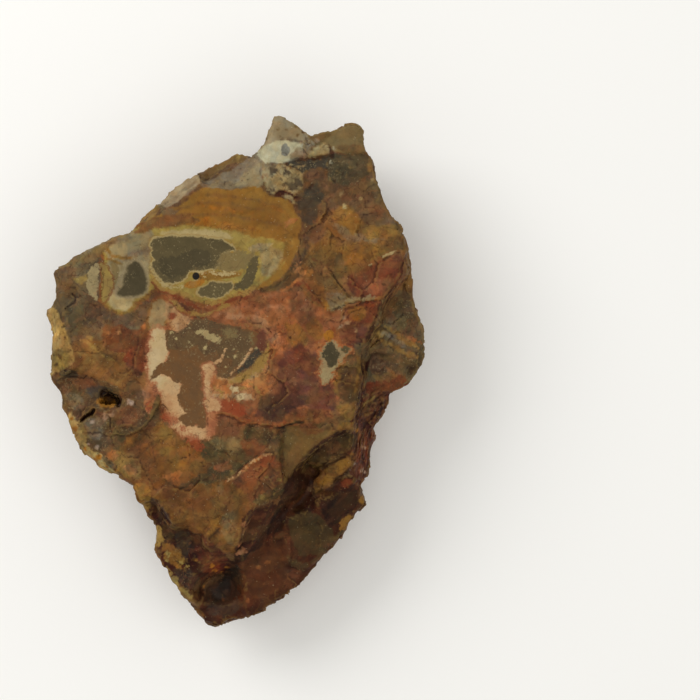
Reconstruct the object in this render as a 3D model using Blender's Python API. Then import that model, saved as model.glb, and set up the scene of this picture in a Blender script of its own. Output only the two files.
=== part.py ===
"""A hand specimen of petrified wood, broken out in one piece and laid down on its back.

The broad polished-looking fracture faces up. +X is the stone's right, +Y its horned upper
end and +Z up, in metres. The origin is under the middle of its box, and the stone rests on
a small flat spot at z = 0.

Outlines are drawn on a grid, x to the right and y down the stone. Heights are in
millimetres above the flat spot.
"""

import math
from dataclasses import dataclass

import bmesh
import bpy
import numpy as np
from mathutils import Vector, noise

# Driving dimensions, metres
LENGTH = 0.2052
THICKNESS = 0.060
MM = 0.001

# The drawing grid
GRID_TOP = 117.5
GRID_BOTTOM = 630.5
GRID_LEFT = 47.0
GRID_RIGHT = 423.7
STEP = LENGTH / (GRID_BOTTOM - GRID_TOP)
GRID_CENTRE = np.array([(GRID_LEFT + GRID_RIGHT) / 2, (GRID_TOP + GRID_BOTTOM) / 2])

# How the surface is worked
BLANK_VOXEL = 0.0012
BODY_VOXEL = 0.0011
BODY_TRIANGLES = 7600
LEDGE_DRAFT = 4.0
EDGE_WEAR = 0.0018
EDGE_DROP = 0.0011
FACE_SWELL = 0.0005
FACE_SWELL_SPAN = 0.035
LOWEST_TOP = 31.0
THINNEST = 0.006
WALL_BITE = 0.0040
WALL_REACH = 0.011
RIM_SPREAD = 0.0006
WALL_LEAN = 0.16
LEAN_CHANGE = 0.34
LEAN_SPAN = 0.030
LEAN_REACH = 0.034
SCAR_SPAN = 0.015
SCAR_FLATNESS = 1.7
SCAR_TILT = 1.3
SCAR_COVER = 0.35
SCAR_HASH = 5.0
BACK_BITE = 0.0016
BACK_SCAR_SPAN = 0.021
FLAT_SPOT_DEPTH = 0.0006

STONE_COLOR = (0.23, 0.13, 0.06, 1.0)
STONE_ROUGHNESS = 0.55

OUTLINE = (
    (250, 157.5), (260, 150), (264, 143.5), (266.5, 142), (272, 124), (274, 120), (277, 118),
    (280, 117.5), (284, 118), (289, 122), (297, 125), (300, 127), (302, 130), (312, 137),
    (336, 130.5), (351, 125), (355, 125.5), (360, 129), (364.5, 143), (366, 153), (369, 154.5),
    (373, 161), (381, 190), (386, 204), (389, 209), (392, 218), (397.5, 225), (402.5, 236),
    (407, 250), (411, 271), (414, 278), (413.5, 294), (415, 298), (417, 310), (421.5, 324),
    (423.7, 350), (423, 365), (419, 373), (410, 383), (403, 387.5), (396, 389), (392.5, 392.5),
    (391, 395), (391.5, 402), (389.5, 406), (383.5, 413), (380, 420.5), (373.5, 427),
    (376, 437.5), (375.5, 440.5), (371, 441.5), (371, 450.5), (368, 455.5), (370, 460),
    (369, 465), (369.5, 474), (367, 478), (359, 484), (360, 489), (366, 500.5), (365.5, 505),
    (362.5, 509), (355, 515.5), (346.5, 530), (339, 539.5), (312.5, 567.5), (305.5, 581.5),
    (297, 588), (294.5, 592), (290, 595.5), (280, 600.5), (272, 604.5), (264.5, 611),
    (257, 614), (248.5, 616.5), (242, 622.5), (237, 621), (231, 622), (226, 623.5),
    (216, 629.5), (209, 630.5), (204, 629.5), (200.5, 627), (190, 611.5), (185, 601),
    (180, 595.5), (177, 589), (170, 580), (165, 569), (159.5, 566), (157.5, 562),
    (153.5, 551), (156.5, 543.5), (155.5, 538), (156, 526.5), (150.5, 521), (145, 512.5),
    (141.5, 503), (138, 499.5), (135, 484.5), (128, 481), (118, 474), (113, 472.5),
    (100, 465), (82, 452), (70, 428.5), (66.5, 417.5), (61, 409.5), (62, 399), (60, 391.5),
    (52, 380.5), (51, 375), (52, 352), (53.5, 345), (53.5, 327), (49.5, 321), (47, 311.5),
    (48, 309.5), (55, 303.5), (56, 297), (54, 283), (51.5, 275), (52.5, 270.5), (81, 253.5),
    (135, 230), (139, 226), (143, 218), (147, 213), (156, 204.5), (163, 200), (168, 191.5),
    (175, 186.5), (186, 182), (192, 175), (196, 173), (205, 171), (207, 168.5), (231, 155.5),
    (237, 151), (240, 152), (246.5, 158),
)


@dataclass(frozen=True)
class Plate:
    """A broken-off flat: its outline, two points (x, y, height) that set its tilt, its edge's draft."""

    name: str
    outline: tuple
    high: tuple
    low: tuple
    draft: float = LEDGE_DRAFT


@dataclass(frozen=True)
class Hollow:
    """A pit below the plates: its outline, the height of its floor and its wall's draft."""

    name: str
    outline: tuple
    floor: float
    draft: float = 2.0


@dataclass(frozen=True)
class BackFacet:
    """A flat of the underside: the way it faces, in degrees from +X, where it starts and its rise."""

    facing: float
    start: float
    rise: float


PLATES = (
    Plate(
        "front face",
        (
            (136, 231), (146, 223), (160, 214), (172, 207), (190, 198), (202, 188), (212, 189),
            (228, 190), (250, 188), (263, 185), (262, 165), (263, 146), (272, 122), (284, 116),
            (300, 126), (312, 136), (318, 153), (340, 153), (368, 153), (378, 172), (388, 204),
            (400, 226), (406, 242), (403, 258), (404, 272), (396, 284), (387, 297), (381, 310),
            (380, 322), (372, 330), (368, 342), (369, 352), (370, 364), (361, 378), (358, 395),
            (356, 408), (352, 420), (335, 421), (318, 421), (300, 423), (288, 426), (277, 427),
            (279, 440), (279, 455), (281, 470), (284, 482), (276, 491), (266, 501), (256, 506),
            (250, 516), (243, 526), (242, 534), (234, 548), (226, 560), (216, 555), (206, 545),
            (204, 538), (211, 522), (204, 528), (196, 532), (182, 530), (175, 527), (168, 515),
            (160, 500), (152, 497), (136, 501), (134, 486), (128, 471), (116, 459), (104, 450),
            (110, 434), (128, 434), (141, 431), (151, 420), (158, 408), (150, 400), (124, 398),
            (112, 388), (100, 378), (85, 374), (72, 368), (68, 350), (70, 330), (66, 310),
            (60, 300), (66, 288), (66, 261), (81, 252),
        ),
        (230, 180, 57.6), (210, 520, 54.2),
    ),
    Plate("left cheek", ((67, 261), (70, 290), (61, 301), (53, 304), (50, 282), (49, 268)),
          (69, 285, 57.2), (52, 287, 53.4)),
    Plate("left rim", ((45, 309), (54, 302), (67, 308), (71, 330), (69, 350), (73, 370),
                       (60, 381), (49, 377), (50, 350), (52, 330), (47, 320)),
          (70, 344, 57.0), (50, 346, 50.5)),
    Plate("left shoulder", ((66, 370), (85, 373), (100, 377), (113, 388), (125, 398), (150, 399),
                            (162, 400), (152, 421), (141, 432), (128, 435), (110, 435), (104, 451),
                            (90, 441), (80, 433), (68, 429), (58, 408), (60, 392), (50, 381)),
          (152, 396, 57.6), (60, 414, 50.0)),
    Plate("lower left rim", ((68, 428), (80, 432), (91, 440), (105, 450), (117, 459), (129, 471),
                             (136, 486), (118, 476), (99, 467), (80, 453)),
          (110, 450, 55.0), (92, 462, 48.5)),
    Plate("grey bevel", ((136, 231), (141, 219), (155, 202), (167, 190), (185, 180), (196, 171),
                         (203, 187), (190, 199), (172, 208), (160, 215), (146, 224)),
          (181, 202, 57.0), (169, 188, 50.5)),
    Plate("prong", ((193, 174), (205, 168), (230, 154), (238, 149), (248, 158), (240, 165),
                    (225, 170), (213, 179), (204, 187), (198, 186)),
          (224, 172, 50.0), (214, 160, 46.5)),
    Plate("grey strip", ((203, 188), (213, 179), (225, 170), (240, 165), (249, 157), (263, 146),
                         (263, 186), (250, 189), (228, 191), (212, 190)),
          (240, 188, 57.4), (230, 168, 52.6)),
    Plate("top block", ((304, 150), (306, 141), (312, 135), (328, 130), (351, 123), (362, 128),
                        (366, 150), (367, 154), (345, 154), (332, 154), (320, 158), (308, 157)),
          (338, 152, 59.8), (334, 128, 57.2)),
    Plate("knotty lumps", ((263, 163), (275, 162), (290, 167), (305, 171), (308, 185), (300, 197),
                           (288, 199), (276, 197), (267, 189), (263, 176)),
          (285, 165, 59.0), (285, 198, 58.6), 2.5),
    Plate("right flank", ((403, 240), (412, 262), (416, 279), (415, 294), (419, 310), (424, 324),
                          (426, 350), (425, 366), (419, 376), (408, 386), (395, 391), (376, 392),
                          (363, 394), (359, 379), (370, 364), (369, 342), (373, 330), (381, 322),
                          (382, 310), (388, 297), (397, 284), (404, 272), (402, 258)),
          (374, 322, 51.0), (420, 345, 42.0)),
    Plate("ribbed flank", ((362, 394), (376, 392), (393, 391), (393, 403), (385, 413), (381, 422),
                           (373, 428), (361, 425), (356, 410)),
          (361, 402, 48.5), (386, 411, 38.5), 2.5),
    Plate("maroon edge", ((352, 420), (362, 424), (374, 427), (378, 439), (371, 455), (371, 474),
                          (360, 485), (352, 479), (354, 466), (350, 452), (351, 438)),
          (352, 445, 47.5), (371, 450, 36.0), 2.5),
    Plate("beige facet", ((278, 428), (300, 423), (318, 421), (337, 421), (353, 421), (351, 430),
                          (345, 430), (337, 434), (325, 440), (315, 447), (306, 455), (299, 462),
                          (290, 472), (284, 481), (280, 465), (279, 445)),
          (312, 426, 54.0), (290, 470, 50.0)),
    Plate("upper tongue", ((337, 434), (345, 430), (352, 430), (351, 445), (343, 455), (330, 462),
                           (318, 466), (310, 463), (306, 455), (318, 447), (330, 441)),
          (347, 434, 49.5), (314, 462, 43.0)),
    Plate("golden tongue", ((330, 462), (343, 455), (351, 452), (354, 462), (350, 470),
                            (338, 477), (326, 486), (318, 484), (317, 478)),
          (350, 458, 45.0), (322, 482, 40.0)),
    Plate("lowest tongue", ((313, 480), (318, 477), (326, 486), (334, 482), (328, 492),
                            (319, 499), (313, 497), (311, 488)),
          (330, 484, 41.0), (316, 496, 36.5)),
    Plate("red tongue", ((338, 477), (350, 470), (356, 478), (353, 484), (342, 490), (330, 496),
                         (326, 490), (334, 484)),
          (352, 476, 43.0), (332, 493, 38.0)),
    Plate("under layer", ((136, 497), (160, 495), (250, 505), (270, 496), (281, 485), (273, 496),
                          (268, 508), (262, 520), (252, 545), (240, 560), (228, 572), (215, 582),
                          (205, 588), (198, 600), (191, 612), (182, 600), (168, 582), (163, 569),
                          (155, 563), (151, 551), (154, 543), (153, 530), (148, 521), (143, 512)),
          (225, 500, 50.5), (180, 592, 40.0), 1.6),
    Plate("brown facet", ((232, 557), (245, 562), (262, 556), (285, 563), (300, 570), (310, 578),
                          (297, 590), (280, 603), (264, 613), (248, 618), (240, 604), (234, 590)),
          (252, 560, 38.5), (285, 600, 32.0), 1.6),
    Plate("green facet", ((284, 519), (296, 515), (310, 512), (320, 516), (329, 535), (341, 540),
                          (325, 556), (312, 569), (300, 569), (286, 563), (285, 545)),
          (296, 518, 42.0), (322, 556, 34.5), 1.6),
    Plate("red brown facet", ((260, 550), (272, 536), (284, 530), (287, 545), (288, 563),
                              (270, 560)),
          (280, 534, 40.5), (267, 560, 37.0), 1.6),
    Plate("dark facet", ((320, 500), (334, 496), (345, 489), (359, 483), (368, 500), (366, 508),
                         (355, 518), (347, 532), (340, 541), (329, 534), (321, 516), (316, 506)),
          (334, 500, 40.5), (354, 516, 33.5), 1.6),
    Plate("tip", ((198, 600), (205, 590), (215, 586), (228, 580), (236, 590), (240, 604),
                  (249, 617), (242, 624), (226, 625), (209, 632), (200, 629), (190, 613)),
          (226, 588, 34.0), (210, 630, 28.5), 1.6),
)

HOLLOWS = (
    Hollow("cavity", ((103, 391), (112, 393), (119, 398), (120, 404), (113, 405), (105, 406),
                      (100, 401)), 45.0, 14.0),
    Hollow("flank hollow", ((373, 354), (383, 355), (391, 360), (393, 366), (387, 371), (379, 373),
                            (371, 373), (369, 365)), 44.5, 2.2),
    Hollow("flank notch", ((407, 367), (412, 366), (415, 371), (411, 378), (408, 377)), 38.5, 3.0),
    Hollow("dark pocket", ((208, 592), (216, 586), (227, 580), (231, 588), (232, 598), (222, 603),
                           (212, 602)), 28.5, 1.6),
    Hollow("under layer pocket", ((178, 535), (187, 535), (193, 541), (188, 553), (182, 549),
                                  (177, 542)), 44.5, 2.0),
)

BACK_FACETS = (
    BackFacet(2, 0.034, 0.22), BackFacet(48, 0.040, 0.18), BackFacet(95, 0.048, 0.16),
    BackFacet(140, 0.038, 0.25), BackFacet(182, 0.036, 0.20), BackFacet(228, 0.034, 0.22),
    BackFacet(272, 0.046, 0.15), BackFacet(318, 0.034, 0.24),
    BackFacet(8, 0.059, 1.25), BackFacet(40, 0.068, 1.10), BackFacet(72, 0.086, 1.00),
    BackFacet(100, 0.088, 1.30), BackFacet(128, 0.071, 1.20), BackFacet(160, 0.062, 1.40),
    BackFacet(195, 0.061, 1.10), BackFacet(222, 0.055, 1.25), BackFacet(250, 0.074, 0.95),
    BackFacet(275, 0.086, 1.10), BackFacet(300, 0.067, 1.05), BackFacet(330, 0.059, 1.20),
)


def clear_scene():
    for old in list(bpy.data.objects):
        bpy.data.objects.remove(old)


def on_stone(points):
    """Grid points as metres on the stone, +Y up the grid."""
    offset = (np.asarray(points, dtype=float)[..., :2] - GRID_CENTRE) * STEP
    return offset * (1.0, -1.0)


def distance_to(outline, points):
    """How far each point lies outside the outline, less than zero inside, and the nearest point on it."""
    corners = on_stone(outline)
    gap = np.full(len(points), np.inf)
    nearest = np.zeros_like(points)
    inside = np.zeros(len(points), dtype=bool)
    for a, b in zip(corners, np.roll(corners, -1, axis=0)):
        run = b - a
        along = np.clip((points - a) @ run / (run @ run), 0.0, 1.0)
        foot = a + along[:, None] * run
        away = np.hypot(*(points - foot).T)
        closer = away < gap
        gap[closer] = away[closer]
        nearest[closer] = foot[closer]
        crosses = (a[1] > points[:, 1]) != (b[1] > points[:, 1])
        reach = a[0] + (points[:, 1] - a[1]) * run[0] / (run[1] or 1.0)
        inside ^= crosses & (points[:, 0] < reach)
    return np.where(inside, -gap, gap), nearest


def plate_height(plate, points):
    """The plate's tilted plane, falling away at its draft outside its outline."""
    high, low = on_stone(plate.high), on_stone(plate.low)
    run = low - high
    along = (points - high) @ run / (run @ run)
    plane = (plate.high[2] + (plate.low[2] - plate.high[2]) * along) * MM
    outside = np.maximum(distance_to(plate.outline, points)[0], 0.0)
    return plane - plate.draft * outside


def front_height(points):
    """The top surface: the highest plate at each point, less the hollows and the worn rim."""
    height = np.full(len(points), LOWEST_TOP * MM)
    for plate in PLATES:
        height = np.maximum(height, plate_height(plate, points))
    for hollow in HOLLOWS:
        outside = np.maximum(distance_to(hollow.outline, points)[0], 0.0)
        height = np.minimum(height, hollow.floor * MM + hollow.draft * outside)
    swell = [noise.noise(Vector((x, y, 0.0)) / FACE_SWELL_SPAN) for x, y in points]
    rim = np.clip(1.0 + distance_to(OUTLINE, points)[0] / EDGE_WEAR, 0.0, 1.0)
    return height + FACE_SWELL * np.array(swell) - EDGE_DROP * rim**2


def back_height(points):
    """The underside: flat in the middle, then facets that rise towards the rim."""
    height = np.full(len(points), -FLAT_SPOT_DEPTH)
    for facet in BACK_FACETS:
        angle = math.radians(facet.facing)
        reach = points @ np.array([math.cos(angle), math.sin(angle)])
        height = np.maximum(height, (reach - facet.start) * facet.rise - FLAT_SPOT_DEPTH)
    scars = chipped(np.column_stack((points, np.zeros(len(points)))), BACK_SCAR_SPAN)
    past_flat = np.clip((height + FLAT_SPOT_DEPTH) / BACK_BITE, 0.0, 1.0)
    return height + BACK_BITE * past_flat * scars


def chipped(places, size):
    """A patchwork of chip scars at these places, each flat with its own depth and tilt, about 0 to 1."""
    depths = []
    for place in places:
        here = Vector(place) / size
        seed = noise.voronoi(here)[1][0]
        tilt = noise.cell_vector(seed * SCAR_HASH) - Vector((0.5, 0.5, 0.5))
        depths.append(noise.cell(seed * SCAR_HASH + tilt) + SCAR_TILT * tilt.dot(here - seed))
    return np.array(depths)


def coordinates(mesh):
    places = np.empty(len(mesh.vertices) * 3)
    mesh.vertices.foreach_get("co", places)
    return places.reshape(-1, 3)


def blank():
    """The stone as a plain slab: its outline pulled straight up."""
    shape = bmesh.new()
    corners = [shape.verts.new((x, y, 0.0)) for x, y in on_stone(OUTLINE)]
    base = shape.faces.new(corners)
    pulled = bmesh.ops.extrude_face_region(shape, geom=[base])["geom"]
    raised = [part for part in pulled if isinstance(part, bmesh.types.BMVert)]
    bmesh.ops.translate(shape, vec=(0.0, 0.0, THICKNESS), verts=raised)
    bmesh.ops.recalc_face_normals(shape, faces=shape.faces)
    mesh = bpy.data.meshes.new("petrified_wood")
    shape.to_mesh(mesh)
    shape.free()
    stone = bpy.data.objects.new("petrified_wood", mesh)
    bpy.context.scene.collection.objects.link(stone)
    return stone


def apply_modifiers(stone):
    graph = bpy.context.evaluated_depsgraph_get()
    shaped = bpy.data.meshes.new_from_object(stone.evaluated_get(graph))
    stone.modifiers.clear()
    stone.data = shaped


def remesh(stone, voxel):
    even = stone.modifiers.new("even skin", "REMESH")
    even.mode = "VOXEL"
    even.voxel_size = voxel
    apply_modifiers(stone)


def carve(stone):
    """Lifts the slab's top to the plates and its bottom to the back facets, and bites its walls."""
    places = coordinates(stone.data)
    plan = places[:, :2].copy()
    gap, nearest = distance_to(OUTLINE, plan)
    share = np.clip(places[:, 2] / THICKNESS, 0.0, 1.0)
    back = back_height(plan)
    front = np.maximum(front_height(plan), back + THINNEST)
    places[:, 2] = back + share * (front - back)
    inward = -nearest / np.hypot(*nearest.T)[:, None]
    near_wall = np.clip(1.0 + gap / WALL_REACH, 0.0, 1.0) * np.sin(math.pi * share) ** 0.5
    scars = np.clip(chipped(places * (1.0, 1.0, SCAR_FLATNESS), SCAR_SPAN) + SCAR_COVER, 0.0, None)
    slant = [noise.noise(Vector((x, y, 0.0)) / LEAN_SPAN) for x, y in nearest]
    lean = np.maximum(WALL_LEAN + LEAN_CHANGE * np.array(slant), 0.0)
    drop = (front - places[:, 2]) * np.clip(1.0 + gap / LEAN_REACH, 0.0, 1.0)
    spread = RIM_SPREAD * np.clip(1.0 + gap / WALL_REACH, 0.0, 1.0)
    places[:, :2] += inward * (WALL_BITE * near_wall * scars + lean * drop - spread)[:, None]
    stone.data.vertices.foreach_set("co", places.ravel())
    stone.data.update()


def thin_out(stone):
    fewer = stone.modifiers.new("broad facets", "DECIMATE")
    fewer.ratio = BODY_TRIANGLES / (2 * len(stone.data.polygons))
    fewer.use_collapse_triangulate = True
    apply_modifiers(stone)


def cut_flat_spot(stone):
    """Cuts the lowest part of the back off level, so the stone rests on a true flat at z = 0."""
    shape = bmesh.new()
    shape.from_mesh(stone.data)
    everything = shape.verts[:] + shape.edges[:] + shape.faces[:]
    bmesh.ops.bisect_plane(
        shape, geom=everything, plane_co=(0, 0, 0), plane_no=(0, 0, -1), clear_outer=True
    )
    bmesh.ops.holes_fill(shape, edges=[edge for edge in shape.edges if edge.is_boundary])
    bmesh.ops.recalc_face_normals(shape, faces=shape.faces)
    shape.to_mesh(stone.data)
    shape.free()


def stone_material():
    material = bpy.data.materials.new("petrified wood")
    material.use_nodes = True
    surface = material.node_tree.nodes["Principled BSDF"]
    surface.inputs["Base Color"].default_value = STONE_COLOR
    surface.inputs["Roughness"].default_value = STONE_ROUGHNESS
    surface.inputs["Metallic"].default_value = 0.0
    return material


def main():
    clear_scene()
    stone = blank()
    remesh(stone, BLANK_VOXEL)
    carve(stone)
    remesh(stone, BODY_VOXEL)
    thin_out(stone)
    cut_flat_spot(stone)
    stone.data.materials.clear()
    stone.data.materials.append(stone_material())
    stone.data.shade_flat()


main()
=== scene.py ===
"""Looks of a hand specimen of petrified wood, lying on its back under a soft studio light.

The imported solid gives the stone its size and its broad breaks. A copy of it is worked into a fine
skin with ledges, cracks, pits and wood grain, and dressed as agatised wood: pools of dark chert
with cream rims in ochre, rust and plum jasper. The stains are drawn as outlines on a grid of
0.4 mm steps laid over the broad face, x to the right and y down the stone.
"""

import logging
import math
from dataclasses import dataclass, field
from enum import Enum
from typing import ClassVar

import bpy
import numpy as np
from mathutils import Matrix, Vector, noise


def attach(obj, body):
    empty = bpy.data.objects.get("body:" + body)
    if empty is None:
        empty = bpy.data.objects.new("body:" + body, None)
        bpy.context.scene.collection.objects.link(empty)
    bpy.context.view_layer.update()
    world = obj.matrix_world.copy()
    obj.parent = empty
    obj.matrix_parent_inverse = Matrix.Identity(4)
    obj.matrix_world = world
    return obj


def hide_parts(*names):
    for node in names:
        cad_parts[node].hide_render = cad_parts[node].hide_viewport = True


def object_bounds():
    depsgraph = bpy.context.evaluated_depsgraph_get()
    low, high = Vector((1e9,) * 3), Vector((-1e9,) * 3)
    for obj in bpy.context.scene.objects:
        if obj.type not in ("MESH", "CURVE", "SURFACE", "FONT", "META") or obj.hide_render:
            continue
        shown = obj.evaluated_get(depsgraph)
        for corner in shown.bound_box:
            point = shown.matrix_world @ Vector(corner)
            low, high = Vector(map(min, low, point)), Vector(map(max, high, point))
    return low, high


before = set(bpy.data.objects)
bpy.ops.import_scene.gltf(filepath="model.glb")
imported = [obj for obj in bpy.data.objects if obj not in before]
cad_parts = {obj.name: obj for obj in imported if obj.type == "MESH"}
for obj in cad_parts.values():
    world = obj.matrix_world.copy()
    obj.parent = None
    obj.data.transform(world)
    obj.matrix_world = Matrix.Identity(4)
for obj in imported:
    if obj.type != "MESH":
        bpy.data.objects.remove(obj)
CAD_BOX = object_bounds()

LOG = logging.getLogger("petrified_wood")
MM = 0.001
NODE = "petrified_wood"
# Blender seeds its swirling noise from the clock, so a seed of its own makes every run the same
NOISE_SEED = 1

# grid points of an outline or a line, each across and down, one after the other
Points = tuple[float, ...]
# how much longer a pattern's features are along X, Y and Z
Stretch = tuple[float, float, float]


class Grid:
    """The drawing grid laid over the broad face, tied to the solid's box."""

    left, right, top, bottom = 47.0, 423.7, 117.5, 630.5
    step = (CAD_BOX[1].y - CAD_BOX[0].y) / (bottom - top)
    centre = np.array([(left + right) / 2, (top + bottom) / 2])

    @classmethod
    def place(cls, points: Points) -> np.ndarray:
        """Turns grid points into metres on the stone.

        Args:
            points: Grid points, each across and down.

        Returns:
            Their places, X and Y in metres, one a row.
        """
        pairs = np.asarray(points, dtype=float).reshape(-1, 2)
        return (pairs - cls.centre) * (cls.step, -cls.step)


def rounded(outline: np.ndarray) -> np.ndarray:
    """Cuts each corner of a closed outline once, so that it runs as a soft curve.

    Args:
        outline: The outline's corners.

    Returns:
        An outline with twice the corners.
    """
    after = np.roll(outline, -1, axis=0)
    return np.stack((0.75 * outline + 0.25 * after, 0.25 * outline + 0.75 * after), 1).reshape(-1, 2)


def depth_inside(outline: np.ndarray, places: np.ndarray, most: float) -> np.ndarray:
    """Measures how deep each place lies inside an outline.

    Args:
        outline: The outline's corners in metres.
        places: Places in the same plane, one a row.
        most: The largest depth that matters, in metres, either way.

    Returns:
        The depth at each place, less than zero outside.
    """
    depth = np.full(len(places), -most)
    low, high = outline.min(axis=0) - most, outline.max(axis=0) + most
    near = np.flatnonzero(((places > low) & (places < high)).all(axis=1))
    spots = places[near]
    gap = np.full(len(spots), np.inf)
    inside = np.zeros(len(spots), dtype=bool)
    for start, end in zip(outline, np.roll(outline, -1, axis=0)):
        run = end - start
        along = np.clip((spots - start) @ run / max(run @ run, 1e-18), 0.0, 1.0)
        gap = np.minimum(gap, np.hypot(*(spots - start - along[:, None] * run).T))
        crosses = (start[1] > spots[:, 1]) != (end[1] > spots[:, 1])
        reach = start[0] + (spots[:, 1] - start[1]) * run[0] / (run[1] or 1.0)
        inside ^= crosses & (spots[:, 0] < reach)
    depth[near] = np.clip(np.where(inside, gap, -gap), -most, most)
    return depth


@dataclass(frozen=True)
class LineReach:
    """How places lie beside a drawn line: side in metres, right of the way it runs is more than zero."""

    side: np.ndarray
    along: np.ndarray
    length: float

    def taper(self, length: float) -> np.ndarray:
        """Gives 1 along the line, falling to 0 over a length at each end."""
        ends = np.minimum(self.along, self.length - self.along)
        return np.clip(ends / length, 0.0, 1.0)


def beside(line: np.ndarray, places: np.ndarray) -> LineReach:
    """Measures places against a line of straight runs.

    Args:
        line: The line's points in metres.
        places: Places in the same plane, one a row.

    Returns:
        Each place's side of the line and how far along the line it lies.
    """
    gap = np.full(len(places), np.inf)
    side = np.zeros(len(places))
    along = np.zeros(len(places))
    walked = 0.0
    for start, end in zip(line[:-1], line[1:]):
        run = end - start
        length = float(np.hypot(*run))
        share = (places - start) @ run / length**2
        away = places - start - np.clip(share, 0.0, 1.0)[:, None] * run
        distance = np.hypot(*away.T)
        closer = distance < gap
        gap[closer] = distance[closer]
        right = (away @ np.array([run[1], -run[0]])) / length
        side[closer] = (np.sign(right) * distance)[closer]
        along[closer] = walked + length * np.clip(share, 0.0, 1.0)[closer]
        walked += length
    return LineReach(side, along, walked)


def smooth_step(value: np.ndarray) -> np.ndarray:
    """Eases values from 0 to 1."""
    value = np.clip(value, 0.0, 1.0)
    return value * value * (3.0 - 2.0 * value)


def roughness_at(places: np.ndarray, size: float, octaves: int = 2,
                 stretch: Stretch = (1.0, 1.0, 1.0)) -> np.ndarray:
    """Reads fractal noise at places.

    Args:
        places: Places in metres.
        size: The noise's main feature size in metres.
        octaves: How many finer layers it adds up.
        stretch: How much longer its features are along each axis.

    Returns:
        About -1 to 1 at each place.
    """
    scaled = places / (size * np.asarray(stretch))
    return np.array([noise.fractal(Vector(spot), 1.0, 2.0, octaves) for spot in scaled])


def chips_at(places: np.ndarray, size: float, tilt: float = 1.3) -> np.ndarray:
    """Reads a patchwork of chip scars at places, each a flat with its own depth and tilt.

    Args:
        places: Places in metres.
        size: A scar's span in metres.
        tilt: How steeply the flats lie.

    Returns:
        About -1 to 1 at each place.
    """
    depths = np.empty(len(places))
    for index, place in enumerate(places):
        here = Vector(place) / size
        seed = noise.voronoi(here)[1][0]
        lean = noise.cell_vector(seed * 5.0) - Vector((0.5, 0.5, 0.5))
        depths[index] = 0.6 * noise.cell(seed * 5.0 + lean) + tilt * lean.dot(here - seed)
    return depths


def swirl_at(places: np.ndarray, size: float) -> np.ndarray:
    """Reads a slow wandering shift at places, as rock that flowed before it set.

    Args:
        places: Places in metres.
        size: The swirls' span in metres.

    Returns:
        A shift of up to about 1 along each axis, one a row.
    """
    return np.array([noise.noise_vector(Vector(spot)) for spot in places / size])


def patches_at(places: np.ndarray, size: float) -> tuple[np.ndarray, np.ndarray]:
    """Cuts places into patches, as chips and clots of the stone.

    Args:
        places: Places in metres.
        size: A patch's span in metres.

    Returns:
        Three chances from 0 to 1 for the patch that each place lies in, and how far each place is
        from the next patch, as a share of the span.
    """
    chances = np.empty((len(places), 3))
    margins = np.empty(len(places))
    for index, place in enumerate(places):
        gaps, seeds = noise.voronoi(Vector(place) / size)
        chances[index] = noise.cell_vector(seeds[0] * 5.0)
        margins[index] = gaps[1] - gaps[0]
    return chances, margins


@dataclass(frozen=True)
class Relief:
    """One layer of uneven relief: its height and its features' span in mm."""

    height: float
    span: float
    octaves: int = 2
    stretch: Stretch = (1.0, 1.0, 1.0)

    def at(self, places: np.ndarray) -> np.ndarray:
        """Gives the layer's height at places, in metres."""
        return self.height * MM * roughness_at(places, self.span * MM, self.octaves, self.stretch)


@dataclass(frozen=True)
class Scars:
    """One layer of chip scars: its height and a scar's span in mm, its tilt, and how low it is."""

    height: float
    span: float
    tilt: float = 1.3
    squash: float = 1.0

    def at(self, places: np.ndarray) -> np.ndarray:
        """Gives the layer's height at places, in metres."""
        return self.height * MM * chips_at(places * (1.0, 1.0, self.squash), self.span * MM, self.tilt)


@dataclass(frozen=True)
class Fold:
    """A slow wandering shift of a pattern: its span and its reach in mm."""

    span: float
    reach: float

    def at(self, places: np.ndarray) -> np.ndarray:
        """Gives the shift at places, in metres."""
        return self.reach * MM * swirl_at(places, self.span * MM)


@dataclass(frozen=True)
class Ledge:
    """A low step across the broad face. Lengths are in mm.

    Right of the way its line runs, the stone lies lower by the drop, and rises again as the step
    fades out. A drop of less than zero puts the low side on the left.
    """

    name: str
    line: Points
    drop: float
    fade: float
    ends: float = 4.0
    blur: ClassVar[float] = 0.5 * MM

    def depth_at(self, plan: np.ndarray, wander: np.ndarray) -> np.ndarray:
        """Measures how far the ledge lowers the face.

        Args:
            plan: Places on the broad face in metres, one a row.
            wander: How far the line wanders off at each place, in metres.

        Returns:
            The depth at each place in metres.
        """
        reach = beside(Grid.place(self.line), plan)
        side = (reach.side + wander) * math.copysign(1.0, self.drop)
        fade = np.exp(-np.maximum(side, 0.0) / (self.fade * MM))
        step = smooth_step(side / self.blur + 0.5)
        return abs(self.drop) * MM * step * fade * reach.taper(self.ends * MM)


@dataclass(frozen=True)
class Crack:
    """A crack along a line, sharp at its bottom: its width and depth in mm."""

    name: str
    line: Points
    width: float
    depth: float
    tip: ClassVar[float] = 1.2 * MM
    thinnest: ClassVar[float] = 0.01 * MM
    wall: ClassVar[float] = 0.6

    def depth_at(self, plan: np.ndarray, wander: np.ndarray) -> np.ndarray:
        """Measures how far the crack cuts into the face.

        Args:
            plan: Places on the broad face in metres, one a row.
            wander: How far the line wanders off at each place, in metres.

        Returns:
            The depth at each place in metres.
        """
        reach = beside(Grid.place(self.line), plan)
        half = 0.5 * self.width * MM * reach.taper(self.tip)
        across = np.abs(reach.side + 0.5 * wander) / np.maximum(half, self.thinnest)
        return self.depth * MM * np.clip(1.0 - across, 0.0, 1.0) ** self.wall


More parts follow.
